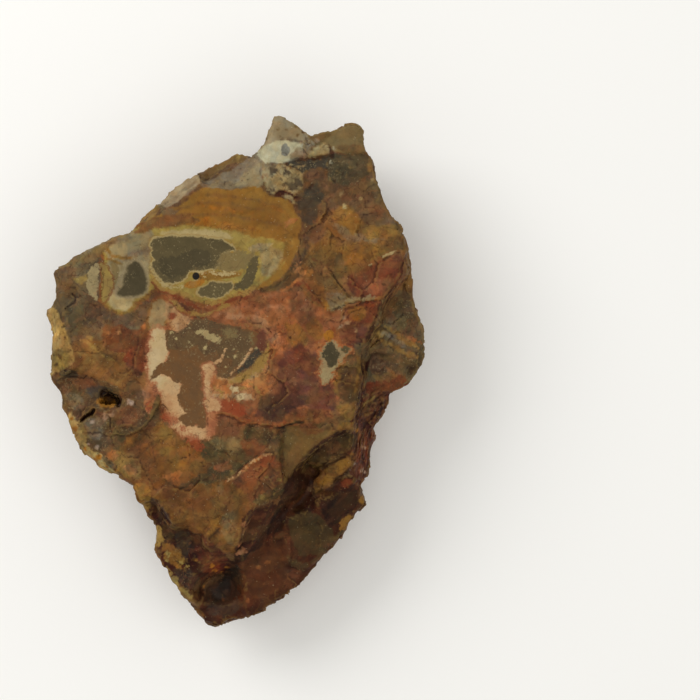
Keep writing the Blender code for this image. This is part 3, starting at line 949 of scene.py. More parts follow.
UPPER_LEFT = (
    Stain("grey bevel", Tint.BEVEL_GREY, ((154, 207, 156, 198, 166, 190, 176, 180, 192, 170, 202, 176, 199,
          186, 190, 193, 183, 198, 173, 205, 167, 211, 160, 210),), wander=0.6, calm=0.7),
    Stain("bevel streaks", Tint.GREY, lines=((198, 178, 192, 186, 184, 191), (186, 187, 178, 196, 168, 203),
          (195, 188, 187, 195)), width=1.2, edge=0.8, strength=0.55),
    Stain("bevel sand facet", Tint.SAND, ((158, 204, 160, 211, 156, 218, 149, 225, 138, 230, 138, 218, 147,
          208),), wander=0.5),
    Stain("cream field", Tint.TAN_CREAM, ((100, 246, 112, 238, 122, 233, 134, 228, 142, 226, 160, 226, 195,
          224, 232, 226, 268, 234, 285, 240, 292, 250, 288, 264, 280, 273, 270, 280, 257, 286, 246, 291,
          236, 296, 224, 300, 212, 303, 198, 300, 186, 296, 176, 291, 166, 289, 156, 288, 150, 294, 140,
          300, 134, 308, 126, 314, 116, 313, 107, 306, 103, 296, 104, 282, 106, 266, 104, 254),), edge=0.5,
          wander=1.2, rims=((Tint.RUST, 1.5, 0.8), (Tint.GOLD, 0.8, 0.9),), calm=0.6),
    Stain("grey cream of the left", Tint.GREY_CREAM, ((100, 246, 122, 236, 140, 231, 156, 232, 156, 246,
          148, 262, 149, 276, 147, 292, 134, 302, 112, 306, 106, 292, 112, 262),), edge=1.4, wander=1.4,
          calm=0.6),
    Stain("grey swirl", Tint.GREY, lines=((112, 262, 122, 260, 132, 254, 146, 252, 156, 247), (104, 246,
          112, 243, 120, 240, 132, 238)), width=2.0, edge=1.4, strength=0.7),
    Stain("swirl of gold", Tint.GOLD, lines=((101, 246, 107, 249, 113, 255, 124, 258, 136, 257), (104, 258,
          112, 259, 122, 263)), width=1.3, edge=0.6, strength=0.9),
    Stain("dark edge tufts", Tint.OLIVE_GREY, ((104, 243, 112, 238, 120, 237, 118, 242, 110, 247, 104,
          249),), edge=0.5, strength=0.9),
    Stain("top brown rim", Tint.OLIVE_BROWN, ((54, 270, 60, 260, 84, 248, 104, 240, 108, 247, 104, 254, 98,
          262, 84, 262, 72, 268, 62, 266),), edge=1.0, wander=1.2),
    Stain("pale top rim", Tint.GREY, lines=((56, 267, 72, 258, 90, 249, 110, 240, 134, 232),), width=1.3,
          edge=0.7, strength=0.8),
    Stain("ochre band", Tint.OCHRE, ((150, 226, 156, 218, 166, 212, 180, 205, 192, 196, 200, 190, 210, 189,
          228, 190, 245, 187, 258, 187, 266, 194, 275, 199, 287, 200, 294, 208, 299, 218, 302, 228, 301,
          240, 297, 253, 290, 266, 280, 278, 268, 287, 259, 291, 257, 288, 266, 281, 276, 272, 284, 262,
          289, 253, 288, 246, 281, 241, 266, 237, 248, 234, 232, 230, 215, 227, 190, 226, 165, 227),),
          edge=0.8, wander=0.7, fray=0.2, calm=0.75),
    Stain("gold of the hook", Tint.GOLD, ((280, 228, 292, 234, 294, 246, 288, 258, 278, 270, 270, 277, 276,
          262, 284, 250, 284, 240),), edge=1.4, wander=0.8, strength=0.8),
    Stain("ochre grain", Tint.OCHRE_BROWN, lines=((172, 210, 190, 206, 210, 203, 236, 206, 262, 210), (196,
          217, 216, 215, 238, 217, 262, 222, 282, 226), (206, 196, 230, 197, 256, 200, 280, 207)),
          width=1.2, edge=1.4, strength=0.5),
    Stain("bright ochre grain", Tint.ORANGE, lines=((192, 221, 212, 221, 236, 226, 262, 231), (204, 207,
          226, 210, 252, 214), (262, 203, 284, 213, 292, 224)), width=1.5, edge=1.3, strength=0.6),
    Stain("orange stripe", Tint.ORANGE, ((192, 222, 205, 220, 222, 222, 240, 227, 252, 232, 234, 230, 214,
          228, 200, 226),), edge=0.8, wander=0.5),
    Stain("red brown streak", Tint.OCHRE_BROWN, ((132, 232, 144, 224, 158, 218, 174, 214, 196, 214, 190,
          218, 201, 221, 194, 224, 176, 226, 160, 228, 148, 231, 138, 234),), edge=0.5, wander=0.6,
          fray=0.3),
    Stain("olive dab", Tint.OLIVE_BROWN, ((157, 206, 164, 209, 174, 210, 181, 211, 172, 216, 161, 214),),
          edge=0.4),
    Stain("white upper band", Tint.WHITE_CREAM, ((158, 235, 166, 231, 180, 230, 198, 230, 214, 230, 228,
          233, 236, 238, 226, 240, 214, 238, 198, 236, 182, 235, 168, 237),), edge=0.8, wander=0.7,
          fray=0.3, crisp=True, calm=0.8, strength=0.85),
    Stain("tan heart", Tint.GREY_CREAM, ((262, 248, 274, 246, 282, 252, 280, 262, 272, 272, 264, 278, 260,
          272, 264, 262, 258, 256),), edge=1.6, wander=1.0, strength=0.8),
    Stain("yellow fleck of the heart", Tint.WHITE_CREAM, ((246, 248, 256, 243, 270, 243, 276, 246, 262, 250,
          252, 254),), edge=1.0),
    Stain("dark eye", Tint.CHERT, ((151, 243, 156, 239, 163, 237, 170, 236, 185, 238, 200, 237, 215, 240,
          228, 243, 238, 251, 228, 252, 221, 255, 219, 263, 213, 268, 200, 271, 190, 270, 188, 275, 181,
          281, 172, 283, 163, 280, 156, 272, 153, 264, 158, 258, 152, 254, 156, 249, 150, 247),),
          wander=0.8, fray=0.22, specks=0.6, rims=((Tint.GOLD, 1.1, 0.55), (Tint.WHITE_CREAM, 0.75, 0.85)),
          crisp=True, calm=0.9, edge=0.45),
    Stain("deep heart of the eye", Tint.DEEP_CHERT, ((162, 256, 176, 258, 190, 250, 208, 250, 214, 258, 206,
          266, 190, 267, 184, 276, 172, 280, 163, 276, 157, 266),), edge=0.6, wander=1.0, specks=0.3,
          crisp=True, calm=0.9, fray=0.6, strength=0.7),
    Stain("speckled ground", Tint.OLIVE_BROWN, ((219, 256, 228, 252, 244, 250, 258, 255, 258, 263, 249, 269,
          238, 272, 226, 273, 215, 269),), edge=0.6, wander=1.6, crisp=True, calm=0.6, specks=1.0, fray=1.2,
          strength=0.75),
    Stain("dark tail", Tint.CHERT, ((256, 257, 260, 262, 257, 271, 256, 281, 251, 287, 242, 291, 232, 290,
          231, 285, 240, 282, 245, 276, 247, 268, 251, 261),), edge=0.5, wander=0.7, fray=0.5, crisp=True,
          specks=0.6, calm=0.8),
    Stain("gold under the eye", Tint.GOLD, ((198, 274, 208, 270, 222, 272, 234, 272, 246, 270, 240, 276,
          228, 279, 214, 279, 204, 281, 196, 280),), edge=0.4, wander=0.5, crisp=True),
    Stain("cream line under the eye", Tint.WHITE_CREAM, lines=((206, 271, 216, 273, 230, 274, 244, 272),
          (150, 262, 153, 272, 159, 280, 168, 286, 180, 287, 192, 283, 200, 278), (190, 271, 196, 270, 203,
          272, 206, 277)), width=1.0, edge=0.5, wander=0.9, crisp=True, strength=0.75, fray=0.9),
    Stain("dark island", Tint.CHERT, ((196, 291, 203, 286, 211, 283, 222, 282, 233, 284, 230, 289, 225, 295,
          216, 299, 206, 297, 198, 295),), wander=0.7, fray=0.3, specks=0.7, rims=((Tint.GOLD, 1.0, 0.5),
          (Tint.WHITE_CREAM, 0.6, 0.8)), crisp=True, calm=0.8, strength=0.9, edge=0.5),
    Stain("orange under the eye", Tint.ORANGE, ((183, 285, 190, 281, 200, 280, 209, 279, 204, 284, 194, 287,
          186, 288),), edge=0.4, wander=0.4, crisp=True, strength=0.75),
    Stain("dark drop", Tint.DEEP_CHERT, ((132, 261, 140, 261, 144, 268, 146, 276, 148, 285, 146, 292, 138,
          297, 124, 297, 117, 294, 119, 290, 125, 287, 126, 276, 128, 267),), wander=0.7, fray=0.2,
          specks=0.3, rims=((Tint.GREY, 1.0, 0.6), (Tint.GREY_CREAM, 0.5, 0.8)), crisp=True, calm=0.9,
          edge=0.9),
    Stain("pale blob", Tint.WHITE_CREAM, ((107, 298, 114, 294, 118, 297, 128, 300, 138, 299, 134, 306, 128,
          312, 121, 311, 111, 308),), edge=0.6, wander=0.6, calm=0.7),
    Stain("gold edge of the blob", Tint.GOLD, lines=((108, 309, 118, 314, 128, 314, 134, 308, 142, 302, 150,
          295, 158, 290),), width=1.4, edge=0.5, wander=0.6),
    Stain("olive stripe", Tint.OLIVE_BROWN, ((111, 261, 116, 262, 120, 269, 119, 280, 114, 289, 110, 291,
          113, 278, 113, 269),), edge=0.5, wander=0.4, crisp=True),
    Stain("gold stripe", Tint.YELLOW, ((100, 261, 104, 262, 110, 271, 114, 280, 112, 290, 107, 301, 103,
          303, 102, 290, 104, 278),), edge=0.4, wander=0.4, rims=((Tint.REDDISH, 0.7, 0.7),), crisp=True,
          strength=0.85, fray=0.8),
    Stain("grey shard", Tint.GREY_CREAM, ((99, 262, 100, 270, 99, 285, 98, 302, 94, 299, 88, 292, 86, 283,
          90, 277, 87, 272, 93, 266),), edge=0.4, wander=0.4, crisp=True, fray=0.7),
    Stain("yellow speckle", Tint.YELLOW, ((73, 278, 82, 275, 90, 277, 88, 281, 80, 282, 83, 285, 76, 283),),
          edge=0.4, wander=0.8, fray=0.6),
)

LEFT_SIDE = (
    Stain("dark olive patch", Tint.OLIVE_GREY, ((68, 304, 80, 303, 100, 305, 103, 318, 99, 335, 86, 338, 74,
          332, 66, 318),), edge=0.9, wander=1.2, fray=0.5),
    Stain("plum patch", Tint.DUSK, ((86, 304, 102, 303, 106, 310, 120, 315, 132, 315, 141, 307, 152, 301,
          156, 304, 149, 315, 140, 330, 118, 325, 102, 320, 88, 318),), edge=0.9, wander=1.0),
    Stain("reddish field", Tint.REDDISH, ((102, 322, 118, 326, 140, 330, 152, 322, 156, 334, 148, 344, 128,
          352, 112, 350, 100, 340),), edge=1.2, wander=1.2),
    Stain("copper freckles", Tint.APRICOT, dots=((108, 331, 1.6), (114, 336, 1.3), (120, 331, 1.0), (146,
          327, 2.4), (150, 334, 1.4), (105, 345, 1.2), (112, 366, 1.0), (96, 360, 1.2)), edge=0.5,
          wander=0.6, strength=0.8),
    Stain("pale scar strokes", Tint.SAND, lines=((80, 340, 90, 344, 98, 351), (88, 336, 97, 342), (76, 352,
          86, 356, 96, 364), (98, 352, 108, 358, 120, 360)), width=1.3, edge=0.6, strength=0.8),
    Stain("dark scar strokes", Tint.OLIVE, lines=((100, 336, 101, 350, 108, 356), (72, 333, 80, 345, 84,
          356), (112, 356, 120, 362, 128, 372)), width=1.2, edge=0.8, strength=0.7),
    Stain("brick patch", Tint.BRICK, ((152, 337, 154, 346, 150, 356, 147, 366, 143, 373, 137, 374, 130, 366,
          121, 359, 127, 352, 136, 346, 143, 341),), edge=0.7, wander=0.9),
    Stain("dark foot of the brick", Tint.DARK_PLUM, ((126, 362, 134, 366, 144, 372, 140, 378, 132, 374),),
          edge=0.9, strength=0.8),
    Stain("left rim", Tint.CREAM_YELLOW, ((45, 308, 54, 310, 62, 315, 64, 322, 68, 335, 72, 345, 74, 355,
          76, 364, 66, 366, 58, 370, 48, 376, 48, 340),), edge=0.8, wander=1.0),
    Stain("pale left rim", Tint.CREAM_YELLOW, ((48, 311, 58, 312, 61, 320, 60, 332, 62, 344, 58, 352, 50,
          356, 50, 330),), edge=0.9, wander=1.0, fray=0.7),
    Stain("olive foot of the rim", Tint.YELLOW, ((48, 352, 62, 348, 72, 356, 72, 366, 60, 368, 48, 372),),
          edge=1.0, wander=1.0, fray=0.6, specks=0.3),
    Stain("rim dots", Tint.OLIVE, dots=((64, 327, 1.8), (54, 354, 1.8), (62, 356, 1.6), (56, 364, 1.6), (66,
          338, 1.2), (70, 350, 1.4), (52, 366, 1.4)), edge=0.5, wander=0.6),
    Stain("slate patch", Tint.BLUE_SLATE, ((59, 374, 64, 369, 72, 369, 80, 374, 78, 379, 66, 377),),
          edge=0.5),
    Stain("tan shoulder lumps", Tint.GREY, ((64, 392, 74, 391, 82, 398, 86, 408, 76, 412, 66, 406), (84,
          420, 98, 416, 108, 420, 106, 434, 94, 440, 84, 434),), edge=1.0, wander=1.0, strength=0.55,
          specks=0.4),
    Stain("warm shoulder", Tint.REDDISH, ((70, 378, 92, 380, 98, 388, 88, 394, 74, 388), (88, 404, 100, 408,
          104, 416, 92, 414), (118, 408, 136, 406, 140, 424, 124, 430, 116, 420)), edge=1.2, wander=1.0,
          strength=0.6),
    Stain("dark brow of the pit", Tint.BLUE_SLATE, ((82, 390, 92, 386, 104, 385, 114, 391, 124, 398, 122,
          407, 112, 407, 100, 402, 90, 398),), edge=0.6, wander=0.8),
    Stain("gold in the pit", Tint.ORANGE, ((97, 399, 103, 397, 111, 398, 113, 404, 108, 408, 101, 407, 96,
          404),), edge=0.5, wander=0.6, fray=0.6),
    # painted shade: black in the pit under its overhanging lip and in the slit
    Stain("black pit", Tint.BLACK, ((101, 390, 106, 391, 114, 394, 121, 399, 122, 405, 120, 407, 114, 405,
          112, 400, 106, 396),), edge=0.3, wander=0.3, lines=((80, 423, 86, 417, 92, 414, 97, 408),),
          width=1.5),
    Stain("gold floor of the pit", Tint.ORANGE, dots=((106, 402, 3.4), (112, 403, 2.8), (102, 400, 2.0)),
          edge=0.7, wander=0.8, fray=0.8, calm=0.8),
    Stain("lilac flecks", Tint.LILAC, dots=((92, 421, 2.6), (106, 416, 2.4), (112, 414, 1.4), (133, 403,
          2.6), (128, 402, 1.6), (88, 444, 2.2), (95, 447, 1.4), (100, 412, 1.2)), edge=0.5, wander=0.8,
          fray=0.9, strength=0.7),
    Stain("moss grey patches", Tint.GREEN_GREY, ((126, 382, 136, 380, 142, 386, 140, 394, 131, 396, 126,
          390), (110, 432, 122, 430, 124, 442, 118, 452, 110, 444), (152, 400, 158, 392, 163, 396, 162, 408,
          154, 416, 146, 428, 142, 420, 150, 410)), edge=0.9, wander=0.9),
    Stain("coral patch", Tint.CORAL, ((142, 386, 150, 381, 160, 382, 162, 390, 156, 398, 154, 408, 149, 412,
          144, 402, 141, 394),), edge=0.8, wander=0.9, fray=0.7, strength=0.85),
    Stain("rust heart of the coral", Tint.RED, ((146, 398, 154, 400, 153, 408, 148, 410),), edge=0.8,
          strength=0.8),
    Stain("moss rim", Tint.YELLOW, ((78, 420, 84, 426, 90, 438, 84, 438, 78, 430),), edge=0.9, strength=0.7),
    Stain("pale lower left rim", Tint.CREAM_YELLOW, ((66, 408, 71, 414, 76, 426, 82, 438, 90, 448, 100, 457,
          112, 467, 122, 475, 112, 478, 92, 468, 74, 444, 64, 424),), edge=0.9, wander=1.3, fray=1.0,
          strength=0.85),
    Stain("rusty rim blots", Tint.ORANGE, dots=((74, 430, 2.0), (84, 448, 2.2), (96, 458, 2.0), (108, 466,
          2.2), (70, 420, 1.8), (118, 470, 1.8)), edge=0.6, wander=0.9, fray=0.8),
    Stain("slate in the rim", Tint.OLIVE_GREY, ((101, 456, 108, 457, 116, 466, 112, 469, 104, 464),),
          edge=0.5),
    Stain("orange slope", Tint.SAND, ((112, 452, 124, 450, 134, 458, 142, 470, 138, 482, 128, 476, 116,
          466),), edge=1.2, wander=1.2, fray=0.8, strength=0.75),
    Stain("orange slope hearts", Tint.APRICOT, ((108, 450, 120, 452, 116, 460, 106, 458), (124, 464, 136,
          466, 138, 476, 128, 474)), edge=0.9, wander=1.0, fray=0.9, strength=0.7),
    Stain("gold prow", Tint.GOLD, ((132, 484, 150, 484, 152, 496, 148, 512, 142, 506, 136, 494),), edge=0.9),
    Stain("dark grain of the slope", Tint.OLIVE, lines=((144, 424, 148, 436, 150, 450), (150, 428, 153, 440,
          154, 456), (140, 430, 142, 444), (156, 430, 160, 446, 166, 462)), width=0.9, edge=0.7,
          strength=0.7),
)

HEART = (
    Stain("pale lens", Tint.GREY_CREAM, ((158, 299, 166, 301, 171, 306, 169, 315, 164, 325, 158, 333, 151,
          331, 148, 322, 151, 310),), edge=0.8, wander=1.2, fray=0.6, specks=0.3, rims=((Tint.GOLD, 0.9,
          0.6),), calm=0.6, strength=0.85),
    Stain("wine stripes", Tint.BRICK, lines=((172, 294, 180, 299, 190, 305, 200, 309, 212, 311), (152, 282,
          160, 288, 170, 293), (170, 301, 178, 307, 186, 313, 196, 317, 206, 317), (218, 309, 228, 303, 240,
          298, 252, 297)), width=1.6, edge=0.5, wander=0.6, fray=0.4, strength=0.7, crisp=True),
    Stain("wine heart", Tint.PLUM, ((178, 302, 186, 304, 194, 311, 190, 313, 182, 309),), edge=0.6),
    Stain("gold stripes", Tint.SAND, lines=((151, 270, 154, 279, 161, 287, 171, 291, 181, 292, 190, 297,
          200, 301, 213, 305, 222, 302, 232, 297, 244, 294, 256, 288), (171, 299, 178, 306, 187, 312, 198,
          316, 210, 314, 220, 310, 230, 304)), width=1.1, edge=0.7, wander=0.9, fray=0.5, strength=0.7,
          crisp=True),
    Stain("coral stripes", Tint.CORAL, lines=((176, 312, 188, 320, 198, 320), (212, 318, 224, 313, 236, 308,
          250, 305), (226, 318, 240, 316, 254, 317, 268, 324), (268, 306, 284, 308, 298, 312)), width=1.8,
          edge=0.8, wander=1.0, strength=0.8),
    Stain("pink field by the lens", Tint.PINK_CREAM, ((166, 306, 173, 301, 181, 309, 189, 318, 188, 326,
          181, 333, 173, 330, 167, 322),), edge=0.7, wander=0.7, fray=0.7, rims=((Tint.PINK_CREAM, 0.8,
          0.7),), strength=0.6),
    Stain("red spot", Tint.RED, dots=((171, 317, 4.2), (176, 314, 2.6)), edge=0.5, wander=0.8, fray=0.7,
          crisp=False, strength=0.9),
    Stain("bright heel of the field", Tint.PINK_CREAM, ((206, 370, 212, 366, 222, 376, 240, 378, 254, 372,
          262, 362, 270, 356, 276, 366, 272, 384, 262, 398, 246, 402, 228, 398, 214, 404, 206, 396, 204,
          382),), edge=1.4, wander=1.5, fray=1.0),
    Stain("apricot mottle", Tint.APRICOT, ((208, 376, 220, 380, 236, 384, 244, 378, 258, 376, 268, 364, 278,
          366, 280, 382, 272, 398, 262, 404, 250, 396, 238, 392, 226, 398, 214, 394),), edge=1.0,
          wander=1.8, fray=1.6, strength=0.85),
    Stain("coral mottle", Tint.RUST, ((268, 340, 280, 346, 284, 362, 280, 384, 272, 396, 266, 384, 270, 366,
          266, 352),), edge=1.2, wander=1.4, fray=1.2, strength=0.8),
    Stain("cream curls", Tint.SAND, lines=((264, 336, 268, 346, 266, 358, 258, 368, 248, 377, 236, 383),
          (212, 372, 208, 384, 212, 396), (228, 386, 236, 390, 246, 388), (250, 384, 258, 390, 262, 398),
          (216, 388, 222, 392, 220, 400)), width=1.2, edge=0.7, wander=1.0, fray=0.8, strength=0.7,
          crisp=True),
    Stain("cream spot", Tint.BONE, dots=((241, 398, 3.4), (236, 390, 2.4), (232, 388, 1.6)), edge=0.8,
          wander=0.8, fray=0.8, crisp=True),
    Stain("red lip", Tint.RED, ((220, 402, 230, 398, 240, 403, 250, 406, 248, 413, 238, 417, 228, 413, 222,
          409),), edge=1.3, wander=1.3, fray=0.9, crisp=True, strength=0.6),
    Stain("plum red lip", Tint.PLUM, ((222, 414, 236, 418, 244, 424, 240, 434, 224, 436, 214, 430, 212,
          420),), edge=1.0, wander=1.0, strength=0.9),
    Stain("halo of the boot", Tint.PINK_CREAM, ((151, 343, 154, 335, 160, 328, 166, 330, 169, 340, 171, 352,
          169, 362, 160, 367, 166, 374, 176, 378, 184, 382, 183, 394, 181, 404, 188, 409, 190, 415, 184,
          418, 190, 424, 206, 424, 211, 428, 208, 436, 198, 440, 186, 437, 178, 432, 173, 422, 170, 412,
          172, 404, 166, 397, 160, 388, 153, 382, 149, 374, 148, 360),), edge=1.5, wander=1.5, fray=0.8,
          rims=((Tint.CORAL, 1.4, 0.7),), crisp=True, calm=0.7, strength=0.85),
    Stain("white of the halo", Tint.BONE, ((152, 344, 155, 334, 161, 330, 166, 334, 168, 346, 168, 358, 162,
          364, 160, 372, 168, 380, 180, 384, 180, 392, 172, 394, 164, 388, 154, 382, 150, 372, 149, 358),),
          edge=1.4, wander=1.4, fray=0.7, strength=0.8, crisp=True, calm=0.7),
    Stain("pink of the halo", Tint.PINK_CREAM, ((166, 380, 178, 384, 180, 396, 174, 402, 178, 412, 184, 424,
          196, 430, 208, 428, 212, 436, 200, 442, 184, 438, 174, 428, 168, 414, 164, 398),), edge=1.2,
          wander=1.2, fray=1.4, strength=0.6, crisp=True),
    Stain("red of the halo", Tint.RED, ((163, 412, 172, 412, 180, 418, 178, 425, 170, 424, 162, 418), (188,
          434, 200, 437, 206, 446, 198, 453, 190, 446, 184, 440), (182, 424, 188, 430, 184, 434, 178, 430)),
          edge=1.2, wander=1.0, fray=1.4, strength=0.6, crisp=True),
    Stain("boot", Tint.WARM_CHERT, ((166, 328, 172, 331, 180, 334, 186, 325, 191, 320, 201, 319, 215, 322,
          228, 324, 240, 326, 250, 331, 262, 333, 267, 340, 266, 350, 262, 358, 256, 366, 249, 372, 240,
          377, 228, 379, 219, 377, 214, 371, 217, 366, 206, 367, 203, 373, 204, 386, 206, 400, 205, 410,
          207, 420, 207, 426, 196, 425, 184, 427, 180, 421, 180, 414, 187, 413, 185, 409, 179, 406, 178,
          398, 180, 390, 183, 381, 175, 382, 168, 376, 161, 373, 155, 378, 150, 377, 155, 370, 159, 364,
          166, 362, 171, 354, 167, 346, 165, 335),), wander=1.0, fray=0.35, specks=0.4, crisp=True,
          calm=0.9, edge=0.5),
    Stain("dark upper of the boot", Tint.DUN_CHERT, ((167, 330, 176, 334, 184, 326, 192, 319, 206, 320, 222,
          324, 240, 327, 250, 333, 251, 348, 246, 358, 238, 368, 228, 376, 219, 375, 214, 369, 224, 357,
          214, 352, 204, 354, 196, 346, 182, 350, 170, 350),), edge=0.9, wander=1.6, fray=0.8,
          strength=0.85, specks=0.9, crisp=True),
    Stain("rusty lobe of the boot", Tint.WARM_CHERT, ((214, 369, 220, 361, 226, 356, 234, 360, 230, 370,
          222, 376),), edge=0.8, wander=0.9, fray=0.6, strength=0.8, crisp=True),
    Stain("dusky horn of the boot", Tint.PLUM, ((256, 338, 262, 329, 267, 334, 267, 346, 262, 351, 256,
          346),), edge=0.7, wander=0.9, fray=0.6, strength=0.7, crisp=True),
    Stain("lace of the boot", Tint.WHITE_CREAM, ((195, 332, 200, 330, 208, 331, 216, 334, 222, 341, 216,
          342, 208, 339, 202, 335),), edge=0.6, wander=0.9, fray=0.9, strength=0.8, crisp=True),
    Stain("mossy lace of the boot", Tint.OLIVE_BROWN, ((222, 329, 232, 328, 238, 331, 236, 338, 226, 338),
          (249, 332, 253, 334, 253, 346, 250, 344)), edge=0.8, wander=0.9, fray=1.4, strength=0.7,
          crisp=True),
    Stain("pale veins of the boot", Tint.PINK_CREAM, lines=((202, 368, 209, 365, 216, 363, 222, 358, 225,
          348), (252, 348, 247, 356, 242, 363, 237, 369, 231, 375)), width=1.2, edge=0.4, wander=0.5,
          fray=0.5, strength=0.85, crisp=True),
    Stain("pale specks of the boot", Tint.WHITE_CREAM, dots=((235, 357, 2.0), (226, 366, 1.4), (206, 347,
          1.6), (172, 333, 1.2), (178, 338, 1.4), (257, 347, 1.2), (228, 356, 1.0), (237, 352, 0.9)),
          edge=0.5, wander=0.8, fray=0.7, strength=0.8, crisp=True),
    Stain("pale shank by the boot", Tint.PINK_CREAM, ((203, 368, 208, 365, 214, 365, 216, 371, 212, 378,
          210, 388, 211, 397, 219, 400, 222, 408, 216, 412, 207, 411, 204, 406, 207, 399, 206, 388, 205,
          378),), edge=0.8, wander=1.0, fray=0.7, strength=0.85, crisp=True, rims=((Tint.CORAL, 1.0, 0.6),)),
    Stain("dusty knee by the boot", Tint.CORAL, ((209, 412, 218, 412, 219, 424, 214, 434, 206, 438, 208,
          426),), edge=1.2, wander=1.2, fray=0.9, strength=0.7, crisp=True),
    Stain("blue heel of the boot", Tint.BLUE_SLATE, ((253, 350, 262, 348, 264, 352, 258, 358, 252, 364, 245,
          370, 238, 375, 234, 374, 241, 366, 247, 358),), edge=0.7, wander=0.9, fray=0.8, strength=0.85,
          specks=0.5, crisp=True),
    Stain("yellow heel by the boot", Tint.SAND, ((260, 357, 266, 353, 268, 362, 264, 370, 252, 374, 244,
          380, 234, 384, 228, 382, 240, 376, 252, 366),), edge=0.9, wander=1.1, fray=0.9, strength=0.75,
          crisp=True),
    Stain("rust streak field", Tint.CORAL, ((240, 316, 262, 320, 276, 332, 284, 348, 276, 350, 268, 338,
          256, 326),), edge=1.4, wander=1.2, strength=0.7),
    Stain("ochre wedge of the middle", Tint.OCHRE, ((284, 320, 300, 326, 310, 336, 306, 350, 294, 350, 286,
          338), (306, 318, 318, 320, 326, 330, 320, 342, 310, 334)), edge=1.4, wander=1.2, strength=0.7),
    Stain("plum field", Tint.PLUM, ((280, 352, 300, 344, 318, 354, 326, 366, 330, 384, 338, 402, 330, 414,
          306, 408, 286, 404, 276, 388),), edge=2.2, wander=2.2, fray=0.6),
    Stain("violet streaks of the plum", Tint.PINK_RED, ((296, 298, 306, 300, 312, 312, 306, 330, 298, 318),
          (294, 346, 310, 352, 324, 366, 306, 372, 294, 362)), edge=1.4, wander=1.0, strength=0.8),
    Stain("dark plum pool", Tint.DARK_PLUM, ((262, 398, 276, 390, 296, 392, 312, 398, 304, 408, 290, 418,
          278, 424, 262, 420, 252, 414),), edge=2.0, wander=2.0),
    Stain("pale plum bloom", Tint.CORAL, dots=((292, 384, 5.0), (287, 391, 3.0), (264, 364, 4.0)), edge=1.6,
          wander=1.0, strength=0.35),
    Stain("rust foot", Tint.REDDISH, ((284, 416, 300, 406, 318, 408, 334, 412, 336, 420, 318, 418, 300, 422,
          286, 424),), edge=0.9, wander=0.9, fray=0.6),
    Stain("halo of the small blob", Tint.GREY_CREAM, ((326, 341, 336, 342, 344, 348, 352, 350, 346, 357,
          338, 362, 336, 370, 332, 380, 324, 384, 320, 376, 322, 366, 320, 354, 322, 346),), edge=1.0,
          wander=1.3, fray=1.3, rims=((Tint.APRICOT, 1.0, 0.6),), crisp=True, calm=0.6, strength=0.85),
    Stain("small dark blob", Tint.DEEP_CHERT, ((328, 342, 335, 344, 338, 350, 342, 354, 338, 361, 333, 367,
          329, 369, 328, 363, 323, 360, 322, 352, 325, 346),), wander=0.9, fray=0.5, specks=0.5, crisp=True,
          calm=0.9, edge=0.5),
    Stain("small dark toe", Tint.CHERT, ((340, 348, 346, 346, 351, 350, 346, 354, 341, 354),), edge=0.5,
          fray=0.6, crisp=True),
    Stain("orange spark", Tint.ORANGE, ((324, 334, 330, 330, 334, 334, 332, 340, 326, 340),), edge=0.6,
          crisp=True),
    Stain("olive strip", Tint.OLIVE, ((338, 362, 348, 354, 356, 348, 364, 352, 364, 372, 360, 390, 358, 404,
          346, 402, 336, 396, 332, 386, 336, 374),), edge=0.7, wander=0.8, fray=0.5),
    Stain("gold rim of the strip", Tint.GOLD, lines=((350, 352, 342, 360, 338, 372, 335, 386, 338, 396),
          (356, 352, 360, 364, 358, 380, 354, 396), (342, 366, 348, 362, 354, 358)), width=1.4, edge=0.7,
          wander=0.7, strength=0.8),
    Stain("gold foot of the strip", Tint.GOLD, ((336, 402, 348, 404, 358, 402, 354, 420, 342, 418),),
          edge=1.0, wander=1.0, fray=0.8, strength=0.75),
)

